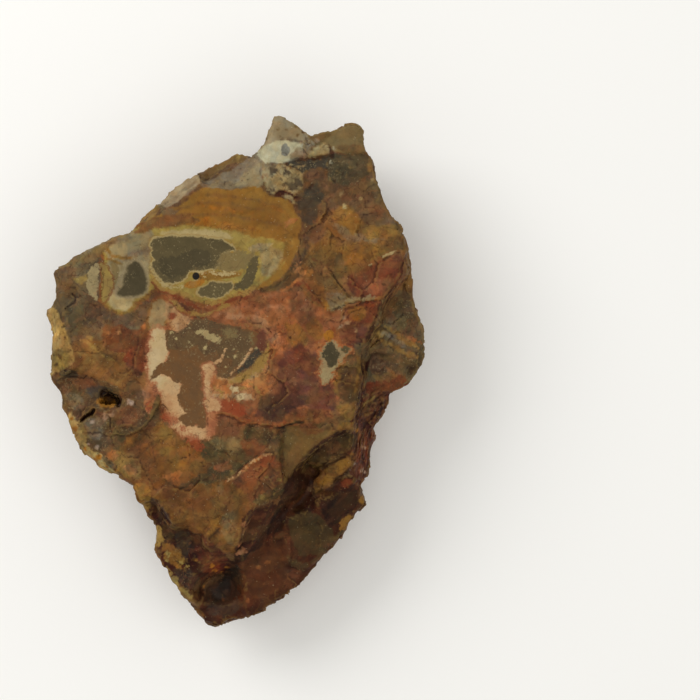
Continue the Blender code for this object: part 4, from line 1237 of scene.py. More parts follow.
UPPER_RIGHT = (
    Stain("violet brown crest", Tint.DUSK, ((300, 188, 326, 176, 352, 180, 376, 182, 394, 208, 394, 228,
          378, 232, 362, 222, 352, 214, 334, 212, 316, 218, 306, 224, 302, 204),), edge=1.2, wander=1.3,
          strength=0.9),
    Stain("brown crest edge", Tint.SMOKE, ((364, 160, 374, 158, 384, 190, 396, 214, 404, 236, 396, 234, 382,
          214, 372, 196, 364, 180),), edge=1.2, wander=1.0, strength=0.8),
    Stain("red brown crest patches", Tint.BRICK, ((338, 188, 352, 186, 360, 194, 352, 202, 340, 200), (366,
          208, 376, 204, 384, 212, 378, 224, 368, 220)), edge=1.4, wander=1.2, strength=0.25),
    Stain("orange tongue", Tint.OCHRE, ((331, 211, 342, 205, 350, 206, 357, 213, 361, 222, 359, 233, 351,
          236, 342, 230, 334, 222),), edge=2.0, wander=1.0, fray=0.5, strength=0.8),
    Stain("white crest flecks", Tint.WHITE_CREAM, ((340, 203, 346, 203, 348, 209, 343, 210),), dots=((341,
          194, 1.8), (360, 199, 1.8), (356, 181, 3.0), (350, 165, 1.2), (371, 180, 1.2)), edge=0.4,
          wander=0.7, fray=0.6),
    Stain("grey green smear", Tint.GREY, lines=((336, 224, 344, 230, 352, 238, 362, 239, 374, 240, 384,
          238), (338, 228, 348, 236, 360, 243)), width=2.6, edge=1.2, wander=1.2, fray=0.8, strength=0.6),
    Stain("gold crest foot", Tint.GOLD, ((362, 228, 378, 226, 392, 222, 400, 232, 396, 242, 382, 238, 366,
          240),), edge=1.2, wander=1.0, strength=0.8),
    Stain("olive crest foot", Tint.OLIVE, ((386, 236, 402, 236, 406, 250, 396, 254, 384, 250),), edge=1.2,
          strength=0.7),
    Stain("rust belly", Tint.OCHRE_BROWN, ((312, 236, 332, 232, 350, 244, 344, 262, 326, 262, 310, 262, 306,
          250),), edge=1.6, wander=1.3, strength=0.8),
    Stain("amber of the belly", Tint.OCHRE, ((318, 240, 334, 238, 344, 248, 338, 258, 322, 258),), edge=2.4,
          wander=1.6, strength=0.5),
    Stain("ochre belly", Tint.OCHRE, ((340, 244, 364, 244, 384, 246, 390, 254, 376, 262, 356, 264, 342,
          262),), edge=1.4, wander=1.2, strength=0.7),
    Stain("dark ring", Tint.OLIVE, ((299, 232, 304, 230, 309, 238, 311, 248, 306, 259, 299, 268, 291, 277,
          281, 285, 270, 291, 260, 294, 262, 288, 274, 283, 285, 274, 293, 264, 299, 253, 301, 242),),
          edge=0.7, wander=0.9, fray=0.6, strength=0.9),
    Stain("dark heart of the ring", Tint.SLATE, lines=((305, 238, 307, 247, 303, 257, 298, 264), (290, 276,
          283, 282, 272, 287)), width=1.4, edge=0.9, wander=0.9, strength=0.6),
    Stain("brown neck", Tint.DUSK, ((300, 222, 314, 220, 326, 226, 324, 240, 312, 244, 302, 236),),
          edge=1.4, wander=1.1, strength=0.7),
    Stain("apricot rim of the ring", Tint.APRICOT, lines=((300, 262, 292, 274, 302, 268), (282, 290, 292,
          286, 300, 279, 306, 270), (286, 226, 290, 222, 296, 220)), width=1.4, edge=0.8, wander=1.0,
          fray=0.8, strength=0.7),
    Stain("brick fork", Tint.BRICK, lines=((302, 282, 308, 288, 314, 296, 322, 303, 330, 312), (294, 286,
          302, 284), (330, 270, 322, 264, 312, 258)), width=1.4, edge=0.8, wander=0.9, strength=0.8),
    Stain("olive wedge", Tint.OCHRE_BROWN, ((308, 262, 322, 261, 329, 270, 338, 281, 345, 293, 348, 300,
          338, 304, 330, 299, 322, 297, 313, 290, 306, 281, 307, 270),), edge=0.6, wander=0.8),
    Stain("grey of the wedge", Tint.GREY, ((328, 292, 338, 292, 344, 298, 340, 306, 330, 308, 326, 300),),
          edge=0.9, wander=1.0, fray=0.9, strength=0.75, specks=0.3),
    Stain("orange below the wedge", Tint.ORANGE, ((322, 296, 330, 302, 330, 311, 324, 310),), edge=0.7,
          wander=0.7, strength=0.8),
    Stain("pink plate", Tint.PINK_RED, ((348, 274, 358, 278, 366, 272, 378, 262, 390, 256, 402, 256, 404,
          266, 402, 276, 396, 284, 386, 297, 375, 299, 360, 300, 352, 296, 346, 286),), edge=0.8,
          wander=0.9, fray=0.5, rims=((Tint.RUST, 2.0, 0.5),)),
    Stain("salmon of the plate", Tint.CORAL, ((360, 284, 372, 278, 384, 280, 392, 274, 390, 284, 382, 294,
          370, 296),), edge=1.8, wander=1.2, strength=0.4),
    # partly painted highlight: a pale cream line along the ledge, where its edge also catches the light
    Stain("pale foot of the plate", Tint.GREY_CREAM, lines=((328, 309, 338, 306, 346, 302, 356, 300, 366,
          299, 378, 298),), width=1.3, edge=0.5, wander=1.0, fray=1.2, crisp=True, strength=0.5),
    Stain("white sparks of the crest", Tint.WHITE_CREAM, lines=((383, 256, 390, 254, 399, 251),),
          dots=((384, 274, 1.2), (370, 265, 1.0)), width=0.9, edge=0.4, wander=0.4, crisp=True,
          strength=0.7),
    Stain("red plate", Tint.BRICK, ((350, 306, 362, 302, 381, 300, 383, 310, 374, 322, 364, 326, 352, 322,
          344, 316),), edge=0.7, wander=0.8),
    Stain("orange corner of the plate", Tint.ORANGE, ((346, 310, 356, 306, 366, 310, 364, 320, 352, 322),),
          edge=1.0, wander=0.9, fray=0.8, strength=0.7),
    Stain("wine step", Tint.PLUM, ((340, 326, 352, 320, 366, 324, 372, 336, 366, 346, 350, 350, 340, 340),),
          edge=0.9, wander=0.9, strength=0.9),
    Stain("mauve of the saddle", Tint.DUSK, ((290, 292, 302, 292, 312, 300, 316, 314, 308, 324, 296, 320,
          288, 308),), edge=2.2, wander=1.4, fray=0.8, strength=0.55),
    Stain("pale flecks of the step", Tint.PINK_CREAM, lines=((338, 330, 346, 324, 352, 320),), dots=((356,
          330, 1.4), (344, 318, 1.4)), width=1.2, edge=0.6, wander=0.9, fray=0.9, strength=0.8),
)

TOP = (
    Stain("pale horn", Tint.PALE_HORN, ((256, 152, 262, 146, 270, 142, 284, 140, 298, 143, 304, 150, 300,
          156, 290, 160, 278, 163, 266, 165, 262, 160),), edge=1.0, wander=1.0, calm=0.7),
    Stain("horn tip", Tint.HORN, ((262, 146, 270, 116, 290, 114, 304, 128, 310, 138, 300, 142, 284, 140,
          270, 142),), edge=1.0, wander=1.0, calm=0.7),
    Stain("horn freckles", Tint.OLIVE, dots=((286, 130, 1.4), (292, 134, 1.6), (298, 136, 1.4), (281, 138,
          1.2), (290, 140, 1.2), (300, 130, 1.4), (296, 128, 1.0), (278, 130, 1.0), (304, 134, 1.4)),
          edge=0.5, wander=0.7, fray=0.8, strength=0.8),
    Stain("gold of the horn", Tint.HORN, ((294, 150, 306, 146, 312, 150, 308, 158, 296, 158, 288, 160),),
          edge=1.0, wander=0.9, strength=0.75),
    Stain("blue grey bead", Tint.BLUE_GREY, dots=((286, 151, 4.8),), edge=0.5, wander=0.4, crisp=True),
    Stain("pale bead heart", Tint.PALE_HORN, dots=((286, 150, 2.0),), edge=0.6, wander=0.4),
    Stain("pale slope", Tint.GREY, ((204, 186, 214, 178, 228, 170, 244, 162, 256, 156, 262, 162, 262, 176,
          262, 187, 244, 187, 226, 190),), edge=0.8, wander=1.0, fray=0.6, specks=0.4, calm=0.6),
    Stain("light slope", Tint.GREY_CREAM, ((232, 186, 244, 174, 258, 164, 263, 166, 262, 180, 264, 187, 246,
          187), (206, 186, 216, 180, 224, 178, 216, 188)), edge=1.2, wander=1.2, fray=0.8, calm=0.7,
          strength=0.75),
    Stain("prong", Tint.BEIGE, ((198, 176, 206, 168, 222, 160, 240, 149, 248, 158, 238, 164, 226, 168, 214,
          178, 202, 183),), edge=0.4, wander=0.4, fray=0.4, calm=0.7),
    Stain("dark foot of the prong", Tint.OLIVE, lines=((202, 182, 212, 178, 224, 170, 236, 164),),
          width=1.6, edge=0.8),
    Stain("gold tip of the prong", Tint.SAND, lines=((204, 168, 212, 164, 222, 160), (236, 150, 238, 156,
          237, 163)), width=1.6, edge=0.5),
    Stain("right block", Tint.OLIVE_BROWN, ((304, 142, 312, 136, 330, 130, 352, 122, 364, 128, 370, 156,
          345, 155, 332, 153, 330, 144, 318, 147),), edge=0.5, wander=0.5, calm=0.7),
    Stain("block shade", Tint.OLIVE, ((308, 140, 330, 132, 336, 138, 322, 144, 312, 148), (334, 146, 352,
          144, 366, 148, 366, 155, 340, 154)), edge=1.4, wander=1.0, strength=0.45),
    Stain("block speckle", Tint.HORN, dots=((306, 142, 2.0), (312, 145, 1.6), (318, 141, 1.4), (334, 148,
          1.6), (338, 146, 1.2)), edge=0.7, wander=0.9, fray=0.9, strength=0.7),
    Stain("dark olive band", Tint.DIM_OLIVE, ((328, 156, 334, 153, 350, 154, 368, 154, 372, 164, 366, 178,
          358, 188, 344, 184, 330, 182, 326, 170),), edge=0.6, wander=0.8, fray=0.6, specks=0.35),
    Stain("red rim of the band", Tint.DUSK, ((326, 182, 340, 184, 356, 188, 364, 184, 356, 196, 338, 194,
          328, 192),), edge=1.0, wander=1.0, strength=0.7),
    Stain("gold corner of the band", Tint.SAND, ((365, 164, 372, 162, 374, 172, 367, 174),), edge=0.7,
          strength=0.7),
    Stain("knotty cream", Tint.GREY_CREAM, ((262, 166, 270, 163, 282, 166, 296, 170, 306, 172, 308, 182,
          302, 190, 296, 196, 286, 192, 276, 196, 268, 190, 263, 178),), edge=0.5, wander=0.8, fray=0.9,
          specks=0.4),
    Stain("knot shadows", Tint.SLATE, ((268, 168, 276, 167, 278, 174, 270, 174), (280, 184, 292, 182, 300,
          188, 298, 194, 288, 190), (266, 186, 274, 190, 272, 195, 266, 192), (284, 170, 292, 172, 290, 178,
          284, 176), (292, 178, 302, 180, 306, 186, 298, 186)), edge=0.5, wander=1.0, fray=1.2,
          strength=0.8, calm=0.8),
    # partly painted shade: the dark of the step under the block that faces away from the light, over the
    # knots' slate colour
    Stain("dark knot band", Tint.BLUE_SLATE, ((286, 163, 294, 160, 306, 160, 320, 158, 330, 156, 334, 162,
          332, 172, 322, 170, 312, 171, 302, 173, 292, 169),), edge=0.5, wander=0.9, fray=0.8, specks=0.5,
          calm=0.8, strength=1.0),
    Stain("dark block of the top", Tint.DIM_OLIVE, ((326, 157, 344, 154, 361, 154, 368, 164, 366, 176, 352,
          184, 338, 184, 328, 178, 325, 166),), edge=1.2, wander=1.4, fray=0.9, strength=0.85, specks=0.3,
          calm=0.6),
    Stain("dark red lip of the knots", Tint.DARK_MAROON, ((274, 190, 284, 192, 294, 196, 302, 196, 300, 201,
          288, 199, 276, 199),), edge=0.5, wander=0.7, fray=0.7),
    Stain("cream lines of the knots", Tint.WHITE_CREAM, lines=((284, 198, 292, 200, 298, 206), (264, 180,
          268, 190, 274, 194), (290, 164, 296, 168, 304, 166)), width=0.9, edge=0.4, wander=0.7, fray=0.7,
          strength=0.85),
    Stain("rust of the knots", Tint.DUSK, ((306, 171, 318, 170, 326, 174, 326, 184, 314, 184, 304, 182),),
          edge=0.9, wander=1.0, fray=0.6),
    Stain("pale triangle", Tint.WHITE_CREAM, ((310, 153, 316, 148, 326, 144, 331, 147, 330, 153, 323, 155,
          316, 158, 308, 159),), edge=0.4, wander=0.6, fray=0.5),
    Stain("black and white nick", Tint.BLACK_BLUE, lines=((331, 146, 332, 153, 333, 160), (328, 160, 331,
          168)), width=1.2, edge=0.4, wander=0.7, fray=0.6),
    Stain("white nicks", Tint.PALE_HORN, lines=((330, 162, 332, 170), (334, 146, 336, 152)), width=1.2,
          edge=0.4, wander=0.8, fray=0.8),
    Stain("blue grey fall", Tint.BLUE_SLATE, ((306, 186, 320, 184, 322, 196, 316, 212, 320, 222, 306, 226,
          300, 216, 298, 202, 304, 196),), edge=0.9, wander=1.0, fray=1.3, strength=0.85, calm=0.5),
)

RIGHT_SIDE = (
    Stain("dark corner", Tint.DIM_OLIVE, ((388, 306, 398, 300, 410, 304, 416, 320, 410, 332, 396, 332, 388,
          322), (366, 352, 380, 350, 396, 360, 400, 368, 388, 376, 374, 378, 364, 366), (404, 352, 422, 352,
          420, 374, 408, 382, 402, 368)), edge=0.9, wander=1.2, fray=0.9, specks=0.5),
    Stain("olive light of the flank", Tint.OLIVE, ((380, 306, 390, 298, 400, 296, 394, 306, 386, 318, 378,
          326), (366, 330, 380, 324, 388, 332, 382, 344, 368, 348)), edge=0.9, wander=1.0),
    Stain("orange flank streaks", Tint.SAND, lines=((386, 326, 398, 336, 410, 344, 422, 350), (382, 342,
          394, 346, 408, 354, 420, 358), (372, 340, 380, 334, 388, 336)), width=1.8, edge=0.9, wander=1.1,
          fray=0.8, strength=0.8),
    Stain("apricot flank streaks", Tint.APRICOT, lines=((404, 334, 414, 340, 422, 344), (386, 368, 394, 374,
          402, 380), (388, 382, 396, 378, 404, 374)), width=1.6, edge=0.9, wander=1.1, fray=0.9,
          strength=0.65),
    Stain("slate flank streaks", Tint.BLUE_GREY, lines=((384, 334, 396, 340, 408, 348),), width=1.8,
          edge=1.0, wander=1.0, strength=0.45),
    Stain("pale flank edge", Tint.YELLOW, lines=((410, 294, 414, 306, 422, 324, 425, 342), (380, 380, 390,
          384, 400, 386)), width=1.3, edge=0.8, wander=0.8, strength=0.55),
    Stain("red flank foot", Tint.BRICK, ((364, 384, 380, 380, 396, 374, 408, 376, 408, 384, 396, 390, 380,
          392, 364, 396),), edge=0.9, wander=1.1, fray=0.8),
    Stain("gold flank foot", Tint.SAND, ((374, 376, 386, 374, 394, 370, 398, 376, 386, 382, 376, 382),),
          edge=0.8, wander=1.0, fray=0.9, strength=0.6),
    Stain("cliff shadow", Tint.DARK_MAROON, lines=((383, 302, 376, 318, 370, 332, 368, 350, 366, 372, 362,
          392, 358, 406),), width=1.6, edge=0.8, wander=0.8),
    Stain("grey smear of the flank", Tint.OLIVE_GREY, ((352, 344, 366, 342, 374, 350, 366, 362, 356, 358),),
          edge=1.2, wander=1.1, strength=0.7),
    Stain("ribbed tan", Tint.REDDISH, ((362, 400, 376, 396, 390, 396, 390, 408, 380, 420, 370, 424, 362,
          416),), edge=0.7, wander=0.8, strength=0.8),
    Stain("ribs", Tint.DARK_MAROON, lines=((366, 414, 370, 404, 380, 398), (372, 420, 376, 410, 386, 402),
          (362, 412, 364, 404, 370, 399), (377, 420, 382, 410, 388, 407)), width=0.9, edge=0.6, wander=0.5),
    Stain("pale rib", Tint.SAND, lines=((362, 406, 367, 402, 374, 396),), width=1.0, edge=0.4, wander=0.4),
    Stain("maroon grain", Tint.BRICK, lines=((352, 426, 354, 440, 352, 456), (360, 424, 360, 440, 358, 458,
          360, 476), (368, 428, 366, 444, 366, 464), (374, 430, 372, 446)), width=1.2, edge=0.7, wander=0.9,
          fray=0.9, strength=0.8),
    Stain("black grain", Tint.BLACK, lines=((356, 422, 357, 438, 355, 452), (364, 424, 363, 446, 363, 466),
          (371, 432, 369, 452, 370, 470)), width=0.8, edge=0.6, wander=0.8, strength=0.7),
    Stain("sparks of the maroon edge", Tint.LILAC, dots=((352, 452, 1.2), (363, 448, 1.4), (358, 444, 0.9),
          (356, 466, 1.2), (361, 472, 1.2), (354, 436, 0.9), (350, 470, 1.0), (365, 474, 1.4)), edge=0.4,
          wander=0.8, fray=0.9, strength=0.85),
    Stain("gold sparks of the maroon edge", Tint.ORANGE, dots=((352, 454, 1.6), (354, 461, 1.2), (356, 430,
          1.2)), edge=0.5, wander=0.7, fray=0.8),
)

LOWER = (
    Stain("tan slope glow", Tint.OCHRE, ((152, 424, 168, 422, 180, 440, 190, 462, 176, 470, 162, 456, 154,
          440),), edge=1.6, wander=1.4, fray=0.7, strength=0.55),
    Stain("orange blots of the slope", Tint.APRICOT, ((160, 476, 172, 472, 182, 470, 180, 478, 168, 484),
          (216, 465, 226, 463, 230, 468, 220, 472)), edge=0.8, wander=1.1, fray=1.0, strength=0.6),
    Stain("grey green streak", Tint.GREEN_GREY, ((196, 448, 206, 440, 220, 440, 236, 446, 252, 452, 262,
          452, 254, 460, 244, 466, 236, 474, 224, 482, 208, 486, 190, 492, 176, 490, 188, 480, 204, 474,
          212, 464, 202, 456),), edge=0.8, wander=1.2, fray=0.9, specks=0.25),
    Stain("grey slab", Tint.OLIVE_BROWN, ((208, 438, 222, 436, 238, 438, 248, 442, 240, 450, 226, 450, 212,
          448),), edge=1.0, wander=1.0, fray=0.8, strength=0.8, specks=0.4),
    Stain("orange inlets", Tint.RUST, ((214, 466, 224, 462, 232, 466, 226, 471, 216, 472), (246, 468, 256,
          460, 264, 458, 260, 466, 250, 472), (242, 430, 252, 424, 262, 428, 252, 434)), edge=0.7,
          wander=0.9, fray=0.8, strength=0.9),
    Stain("reddish slab", Tint.REDDISH, ((240, 440, 254, 440, 268, 446, 262, 454, 250, 456, 240, 450),),
          edge=1.0, wander=1.0, strength=0.8),
    Stain("olive slab", Tint.GREEN_GREY, ((244, 426, 258, 426, 272, 430, 284, 436, 286, 452, 278, 452, 262,
          442, 248, 440, 242, 434),), edge=0.9, wander=1.2, fray=0.9, specks=0.35),
    Stain("dark slab foot", Tint.OLIVE, ((274, 452, 288, 448, 290, 470, 284, 486, 276, 474),), edge=0.9,
          wander=0.8, strength=0.9),
    Stain("beige facet", Tint.BEIGE, ((284, 430, 296, 428, 318, 430, 334, 430, 328, 438, 312, 448, 300, 460,
          290, 474, 283, 484, 285, 464, 282, 448),), edge=0.5, wander=0.6, rims=((Tint.OLIVE, 0.8, 0.7),),
          calm=0.6),
    Stain("reddish beige", Tint.REDDISH, ((298, 424, 314, 424, 328, 428, 320, 434, 302, 434),), edge=1.0,
          wander=0.9, strength=0.7),
    Stain("slate sliver", Tint.GREEN_GREY, ((310, 424, 322, 421, 334, 424, 332, 430, 318, 430),), edge=0.7,
          wander=0.9, fray=0.7, strength=0.85),
    Stain("gold sliver", Tint.OCHRE, ((336, 424, 352, 420, 358, 426, 350, 432, 338, 430),), edge=0.8,
          wander=0.9, fray=0.7, strength=0.8),
    Stain("upper tongue", Tint.GREEN_UMBER, ((318, 452, 328, 442, 342, 434, 354, 432, 356, 444, 346, 452,
          334, 458, 322, 462),), edge=0.6, wander=0.8, rims=((Tint.UMBER, 0.8, 0.8),)),
    Stain("slate root of the tongues", Tint.GREEN_UMBER, ((300, 462, 312, 452, 324, 452, 326, 466, 314, 478,
          302, 476),), edge=1.0, wander=0.9, strength=0.85),
    Stain("golden tongue", Tint.TAN, ((316, 478, 326, 470, 338, 462, 350, 456, 354, 464, 344, 474, 332, 482,
          326, 492, 316, 496, 312, 488),), edge=0.5, wander=0.6, fray=0.4, rims=((Tint.UMBER, 0.9, 0.9),)),
    Stain("bright golden tongue", Tint.OCHRE, ((336, 466, 348, 459, 352, 463, 342, 473, 336, 476), (318,
          482, 328, 476, 334, 480, 326, 488)), edge=0.9, wander=0.7, strength=0.75, crisp=True),
    Stain("red tongue", Tint.RED_UMBER, ((336, 484, 348, 478, 356, 480, 352, 488, 344, 494, 334, 492),),
          edge=0.6, wander=0.7, rims=((Tint.UMBER, 0.7, 0.8),), crisp=True),
    Stain("brick of the red tongue", Tint.BRICK, ((338, 486, 348, 480, 354, 483, 346, 490),), edge=0.8,
          strength=0.75, crisp=True),
    Stain("tongue plate", Tint.TAN, ((168, 500, 180, 488, 200, 484, 224, 480, 240, 482, 250, 498, 244, 520,
          238, 540, 230, 556, 222, 554, 208, 540, 212, 524, 204, 530, 192, 532, 180, 524),), edge=0.5,
          wander=0.6, fray=0.4),
    Stain("gold flank of the plate", Tint.OCHRE, ((206, 488, 220, 484, 224, 500, 220, 520, 214, 540, 208,
          536, 212, 518, 206, 506),), edge=1.4, wander=1.0, fray=0.6, strength=0.6),
    Stain("olive bloom of the plate", Tint.OLIVE_BROWN, ((226, 510, 238, 512, 236, 536, 228, 548, 222, 534),
          (214, 486, 222, 480, 226, 488, 220, 494)), edge=1.6, wander=1.2, strength=0.6),
    Stain("red tip plate", Tint.REDDISH, ((232, 478, 244, 468, 258, 458, 272, 452, 280, 462, 282, 484, 274,
          494, 258, 502, 250, 504, 244, 492, 236, 488),), edge=0.9, wander=1.0, fray=0.5, strength=0.9),
    Stain("brick spot of the plate", Tint.BRICK, ((258, 458, 270, 453, 276, 458, 272, 468, 262, 466),),
          edge=0.9, strength=0.8),
    # painted highlight: pale dashes where the red plate's upper edge catches the light
    Stain("dashed pale edge", Tint.PINK_CREAM, lines=((227, 481, 236, 476, 241, 472), (245, 468, 253, 462,
          259, 458), (263, 455, 269, 453, 272, 452)), width=0.9, edge=0.4, wander=0.7, fray=1.1, crisp=True,
          strength=0.45),
    # partly painted highlight: the orange of the same edge, brightened where it catches the light
    Stain("apricot dashes", Tint.APRICOT, lines=((226, 480, 234, 476), (250, 464, 262, 457), (240, 472, 246,
          468)), width=1.4, edge=0.5, wander=0.9, fray=0.8),
    Stain("pale stitches", Tint.SAND, dots=((232, 473, 1.6), (229, 478, 1.8), (268, 476, 1.0), (279, 480,
          1.6), (243, 526, 1.4), (240, 530, 1.2)), edge=0.4, wander=0.8, fray=0.8),
    Stain("moss toe", Tint.GREEN_GREY, ((252, 500, 264, 494, 276, 486, 284, 482, 282, 494, 272, 502, 258,
          506),), edge=0.6, wander=0.9, fray=0.9, specks=0.4),
    Stain("green toe specks", Tint.YELLOW, dots=((262, 497, 1.4), (268, 501, 1.4), (256, 503, 1.2), (273,
          494, 1.2), (280, 488, 1.0)), edge=0.4, wander=0.7, fray=0.8, strength=0.8),
    # painted shade: the slope's maroon taken down to near black for the shade on it
    Stain("maroon slope", Tint.BLACK_MAROON, ((240, 520, 250, 508, 262, 506, 276, 502, 276, 514, 266, 532,
          252, 548, 240, 558, 234, 556, 242, 540),), edge=0.7, wander=0.8, fray=0.5),
    Stain("pale crumbs of the slope", Tint.CORAL, lines=((240, 522, 246, 526, 243, 532), (240, 545, 244,
          550, 238, 556)), width=1.4, edge=0.5, wander=1.0, fray=1.2, strength=0.8),
    Stain("white edge of the plate", Tint.SAND, lines=((240, 534, 236, 544, 232, 551),), width=0.7,
          edge=0.4, wander=0.4, strength=0.4),
    Stain("slate facet of the under layer", Tint.SLATE, ((174, 532, 186, 530, 192, 540, 190, 554, 182, 558,
          176, 546),), edge=0.8, wander=0.8, strength=0.85),
    Stain("red of the under layer", Tint.MAROON, ((192, 534, 206, 536, 214, 548, 228, 560, 222, 572, 204,
          572, 196, 556),), edge=0.8, wander=0.9, fray=0.6),
    Stain("brick of the under layer", Tint.BRICK, ((204, 556, 220, 560, 218, 572, 206, 576, 200, 568),),
          edge=1.2, wander=1.0, fray=0.9, strength=0.6),
    Stain("gold crumbs of the under layer", Tint.ORANGE, dots=((211, 566, 2.0), (213, 572, 1.6), (226, 568,
          1.8), (220, 575, 1.0), (196, 560, 1.2), (203, 590, 2.0)), edge=0.5, wander=0.9, fray=0.9,
          strength=0.85),
    Stain("sand tongue of the under layer", Tint.SAND, ((155, 528, 161, 528, 163, 540, 158, 548, 153,
          544),), edge=0.6, wander=0.7, crisp=True),
    Stain("orange crumbs", Tint.OCHRE, ((160, 546, 170, 543, 178, 550, 184, 560, 180, 572, 170, 566, 164,
          558),), edge=0.8, wander=1.2, fray=1.1, strength=0.9, specks=0.3),
    Stain("yellow crumbs", Tint.YELLOW, dots=((168, 555, 2.8), (180, 563, 2.0), (186, 568, 1.4), (166, 562,
          1.2)), edge=0.5, wander=0.9, fray=1.0, crisp=True),
    Stain("slate pool of the under layer", Tint.SLATE, ((170, 568, 180, 570, 196, 576, 202, 588, 192, 594,
          180, 586),), edge=1.0, wander=1.0, strength=0.8, specks=0.2),
    Stain("yellow edge", Tint.YELLOW, lines=((166, 573, 172, 580, 179, 588, 186, 596, 192, 602),),
          width=2.2, edge=0.7, wander=1.2, fray=1.2),
    Stain("tan edge of the tip", Tint.OCHRE_BROWN, lines=((192, 604, 196, 614, 202, 624),), width=2.0,
          edge=0.9, wander=0.8),
    Stain("green facet", Tint.GREEN_UMBER, ((286, 520, 300, 512, 318, 514, 326, 524, 334, 532, 326, 548,
          312, 558, 298, 556, 290, 544),), edge=0.6, wander=1.3, fray=0.4, calm=0.6),
    Stain("red facet", Tint.RED_UMBER, ((262, 548, 272, 536, 284, 534, 290, 546, 286, 560, 272, 562),),
          edge=0.9, wander=0.9, rims=((Tint.BRICK, 0.5, 0.5),)),
    Stain("brick streaks of the block", Tint.BRICK, lines=((284, 540, 288, 552, 284, 560), (258, 556, 270,
          550, 280, 552), (240, 580, 256, 576, 270, 578)), width=1.8, edge=1.2, wander=0.9, strength=0.5),
    Stain("ochre slope of the block", Tint.RUST_UMBER, ((276, 574, 290, 570, 302, 572, 298, 584, 284, 592,
          272, 590),), edge=1.4, wander=1.1, strength=0.9),
    Stain("rust facet of the block", Tint.RUST_UMBER, ((236, 574, 240, 560, 254, 552, 270, 546, 284, 540,
          288, 552, 286, 566, 288, 578, 280, 590, 262, 600, 246, 602, 238, 592),), edge=0.7, wander=1.2,
          fray=0.6, calm=0.7, strength=0.85),
    Stain("slate of the tip", Tint.SLATE, ((206, 584, 214, 578, 228, 574, 240, 568, 238, 580, 236, 596, 240,
          612, 230, 618, 218, 620, 206, 616, 200, 602),), edge=1.6, wander=2.2, fray=1.2, strength=0.65,
          calm=0.6),
    # partly painted shade: the hollow's dark slate is taken down to blue black for the shade that lies in it
    Stain("blue black hollow", Tint.BLACK_BLUE, lines=((236, 570, 226, 580, 219, 592, 215, 604, 211, 616),),
          width=4.2, edge=1.4, wander=1.8, fray=1.1, calm=0.8, strength=0.85),
    Stain("slate foot", Tint.SLATE, ((204, 604, 218, 602, 224, 612, 214, 620, 206, 616),), edge=1.2,
          strength=0.6),
    Stain("copper crumbs of the block", Tint.APRICOT, dots=((258, 569, 1.6), (268, 564, 1.6), (276, 567,
          1.2), (309, 555, 1.2), (222, 603, 1.0), (246, 603, 1.2), (262, 586, 0.9)), edge=0.5, wander=0.9,
          fray=0.9, strength=0.35),
    Stain("green seam", Tint.GREEN_GREY, ((284, 560, 296, 564, 308, 566, 306, 572, 292, 572),), edge=0.8,
          wander=0.9, fray=0.8, strength=0.6, specks=0.3),
    # partly painted shade: the facet's own dark colour taken down to umber for the shade on it, as it faces
    # away from the key light
    Stain("dark facet", Tint.UMBER, ((318, 500, 336, 492, 356, 486, 360, 500, 352, 512, 340, 522, 330, 528,
          322, 518),), edge=0.7, wander=1.2, calm=0.6),
    Stain("shade under the tongues", Tint.BLACK_MAROON, ((290, 510, 300, 500, 316, 492, 332, 488, 338, 494,
          328, 504, 312, 512, 298, 518),), edge=1.2, wander=1.2, fray=0.8, strength=0.8, calm=0.5),
    Stain("gold corners of the block", Tint.OCHRE, ((340, 522, 348, 516, 352, 518, 344, 530, 338, 532),
          (359, 498, 364, 496, 367, 502, 362, 507)), edge=0.6, wander=0.8, fray=0.7, strength=0.9,
          crisp=True),
    Stain("green edge of the block", Tint.GREEN_GREY, lines=((344, 530, 332, 542, 322, 556, 312, 566),),
          width=2.0, edge=1.0, strength=0.7),
    Stain("gold prow crumbs", Tint.SAND, dots=((146, 508, 1.8), (143, 500, 1.4), (150, 492, 1.0)), edge=0.6,
          wander=0.8, fray=0.9),
    Stain("dark triangle", Tint.DARK_MAROON, ((156, 498, 160, 504, 168, 516, 176, 530, 172, 544, 162, 538,
          158, 522, 149, 516),), edge=0.5, wander=0.5, fray=0.3),
    Stain("olive in the triangle", Tint.GREEN_UMBER, ((160, 528, 170, 524, 174, 534, 170, 542, 162, 538),),
          edge=0.7, strength=0.8),
    # partly painted shadow: black along the ledges, cliffs and grooves where shadow lies, over cracks in
    # some of them
    Stain("black seams", Tint.BLACK, lines=((276, 427, 286, 427, 294, 424, 303, 422), (340, 431, 332, 437,
          322, 443, 312, 450), (284, 500, 276, 512, 270, 524, 266, 538), (204, 580, 214, 578, 224, 574),
          (206, 540, 214, 534, 220, 528)), width=1.0, edge=0.6, wander=0.6, strength=0.85),
)

SEAMS = Stain("cracks", Tint.BLACK, lines=tuple(crack.line for crack in CRACKS), width=0.35,
              edge=0.4, wander=0.3, fray=0.3, strength=0.6, crisp=True)
# painted shade: a black dot for the shade in a little hole, which is not cut into the skin
HOLE_SHADE = Stain("little hole", Tint.BLACK_BLUE, dots=((196.8, 275.5, 3.6),), edge=0.3, wander=0.2, fray=0.1,
             crisp=True)
STAINS = (*GROUNDS, *UPPER_LEFT, *LEFT_SIDE, *HEART, *UPPER_RIGHT, *TOP, *RIGHT_SIDE, *LOWER,
          SEAMS, HOLE_SHADE)
CRISP = tuple(stain for stain in STAINS if stain.crisp)


@dataclass(frozen=True)
class Glaze:
    """A thin streaky veil over the broad face, which runs along a direction. Lengths are in mm."""

    tint: Tint
    span: float
    run: float
    heading: float
    above: float
    soft: float
    strength: float


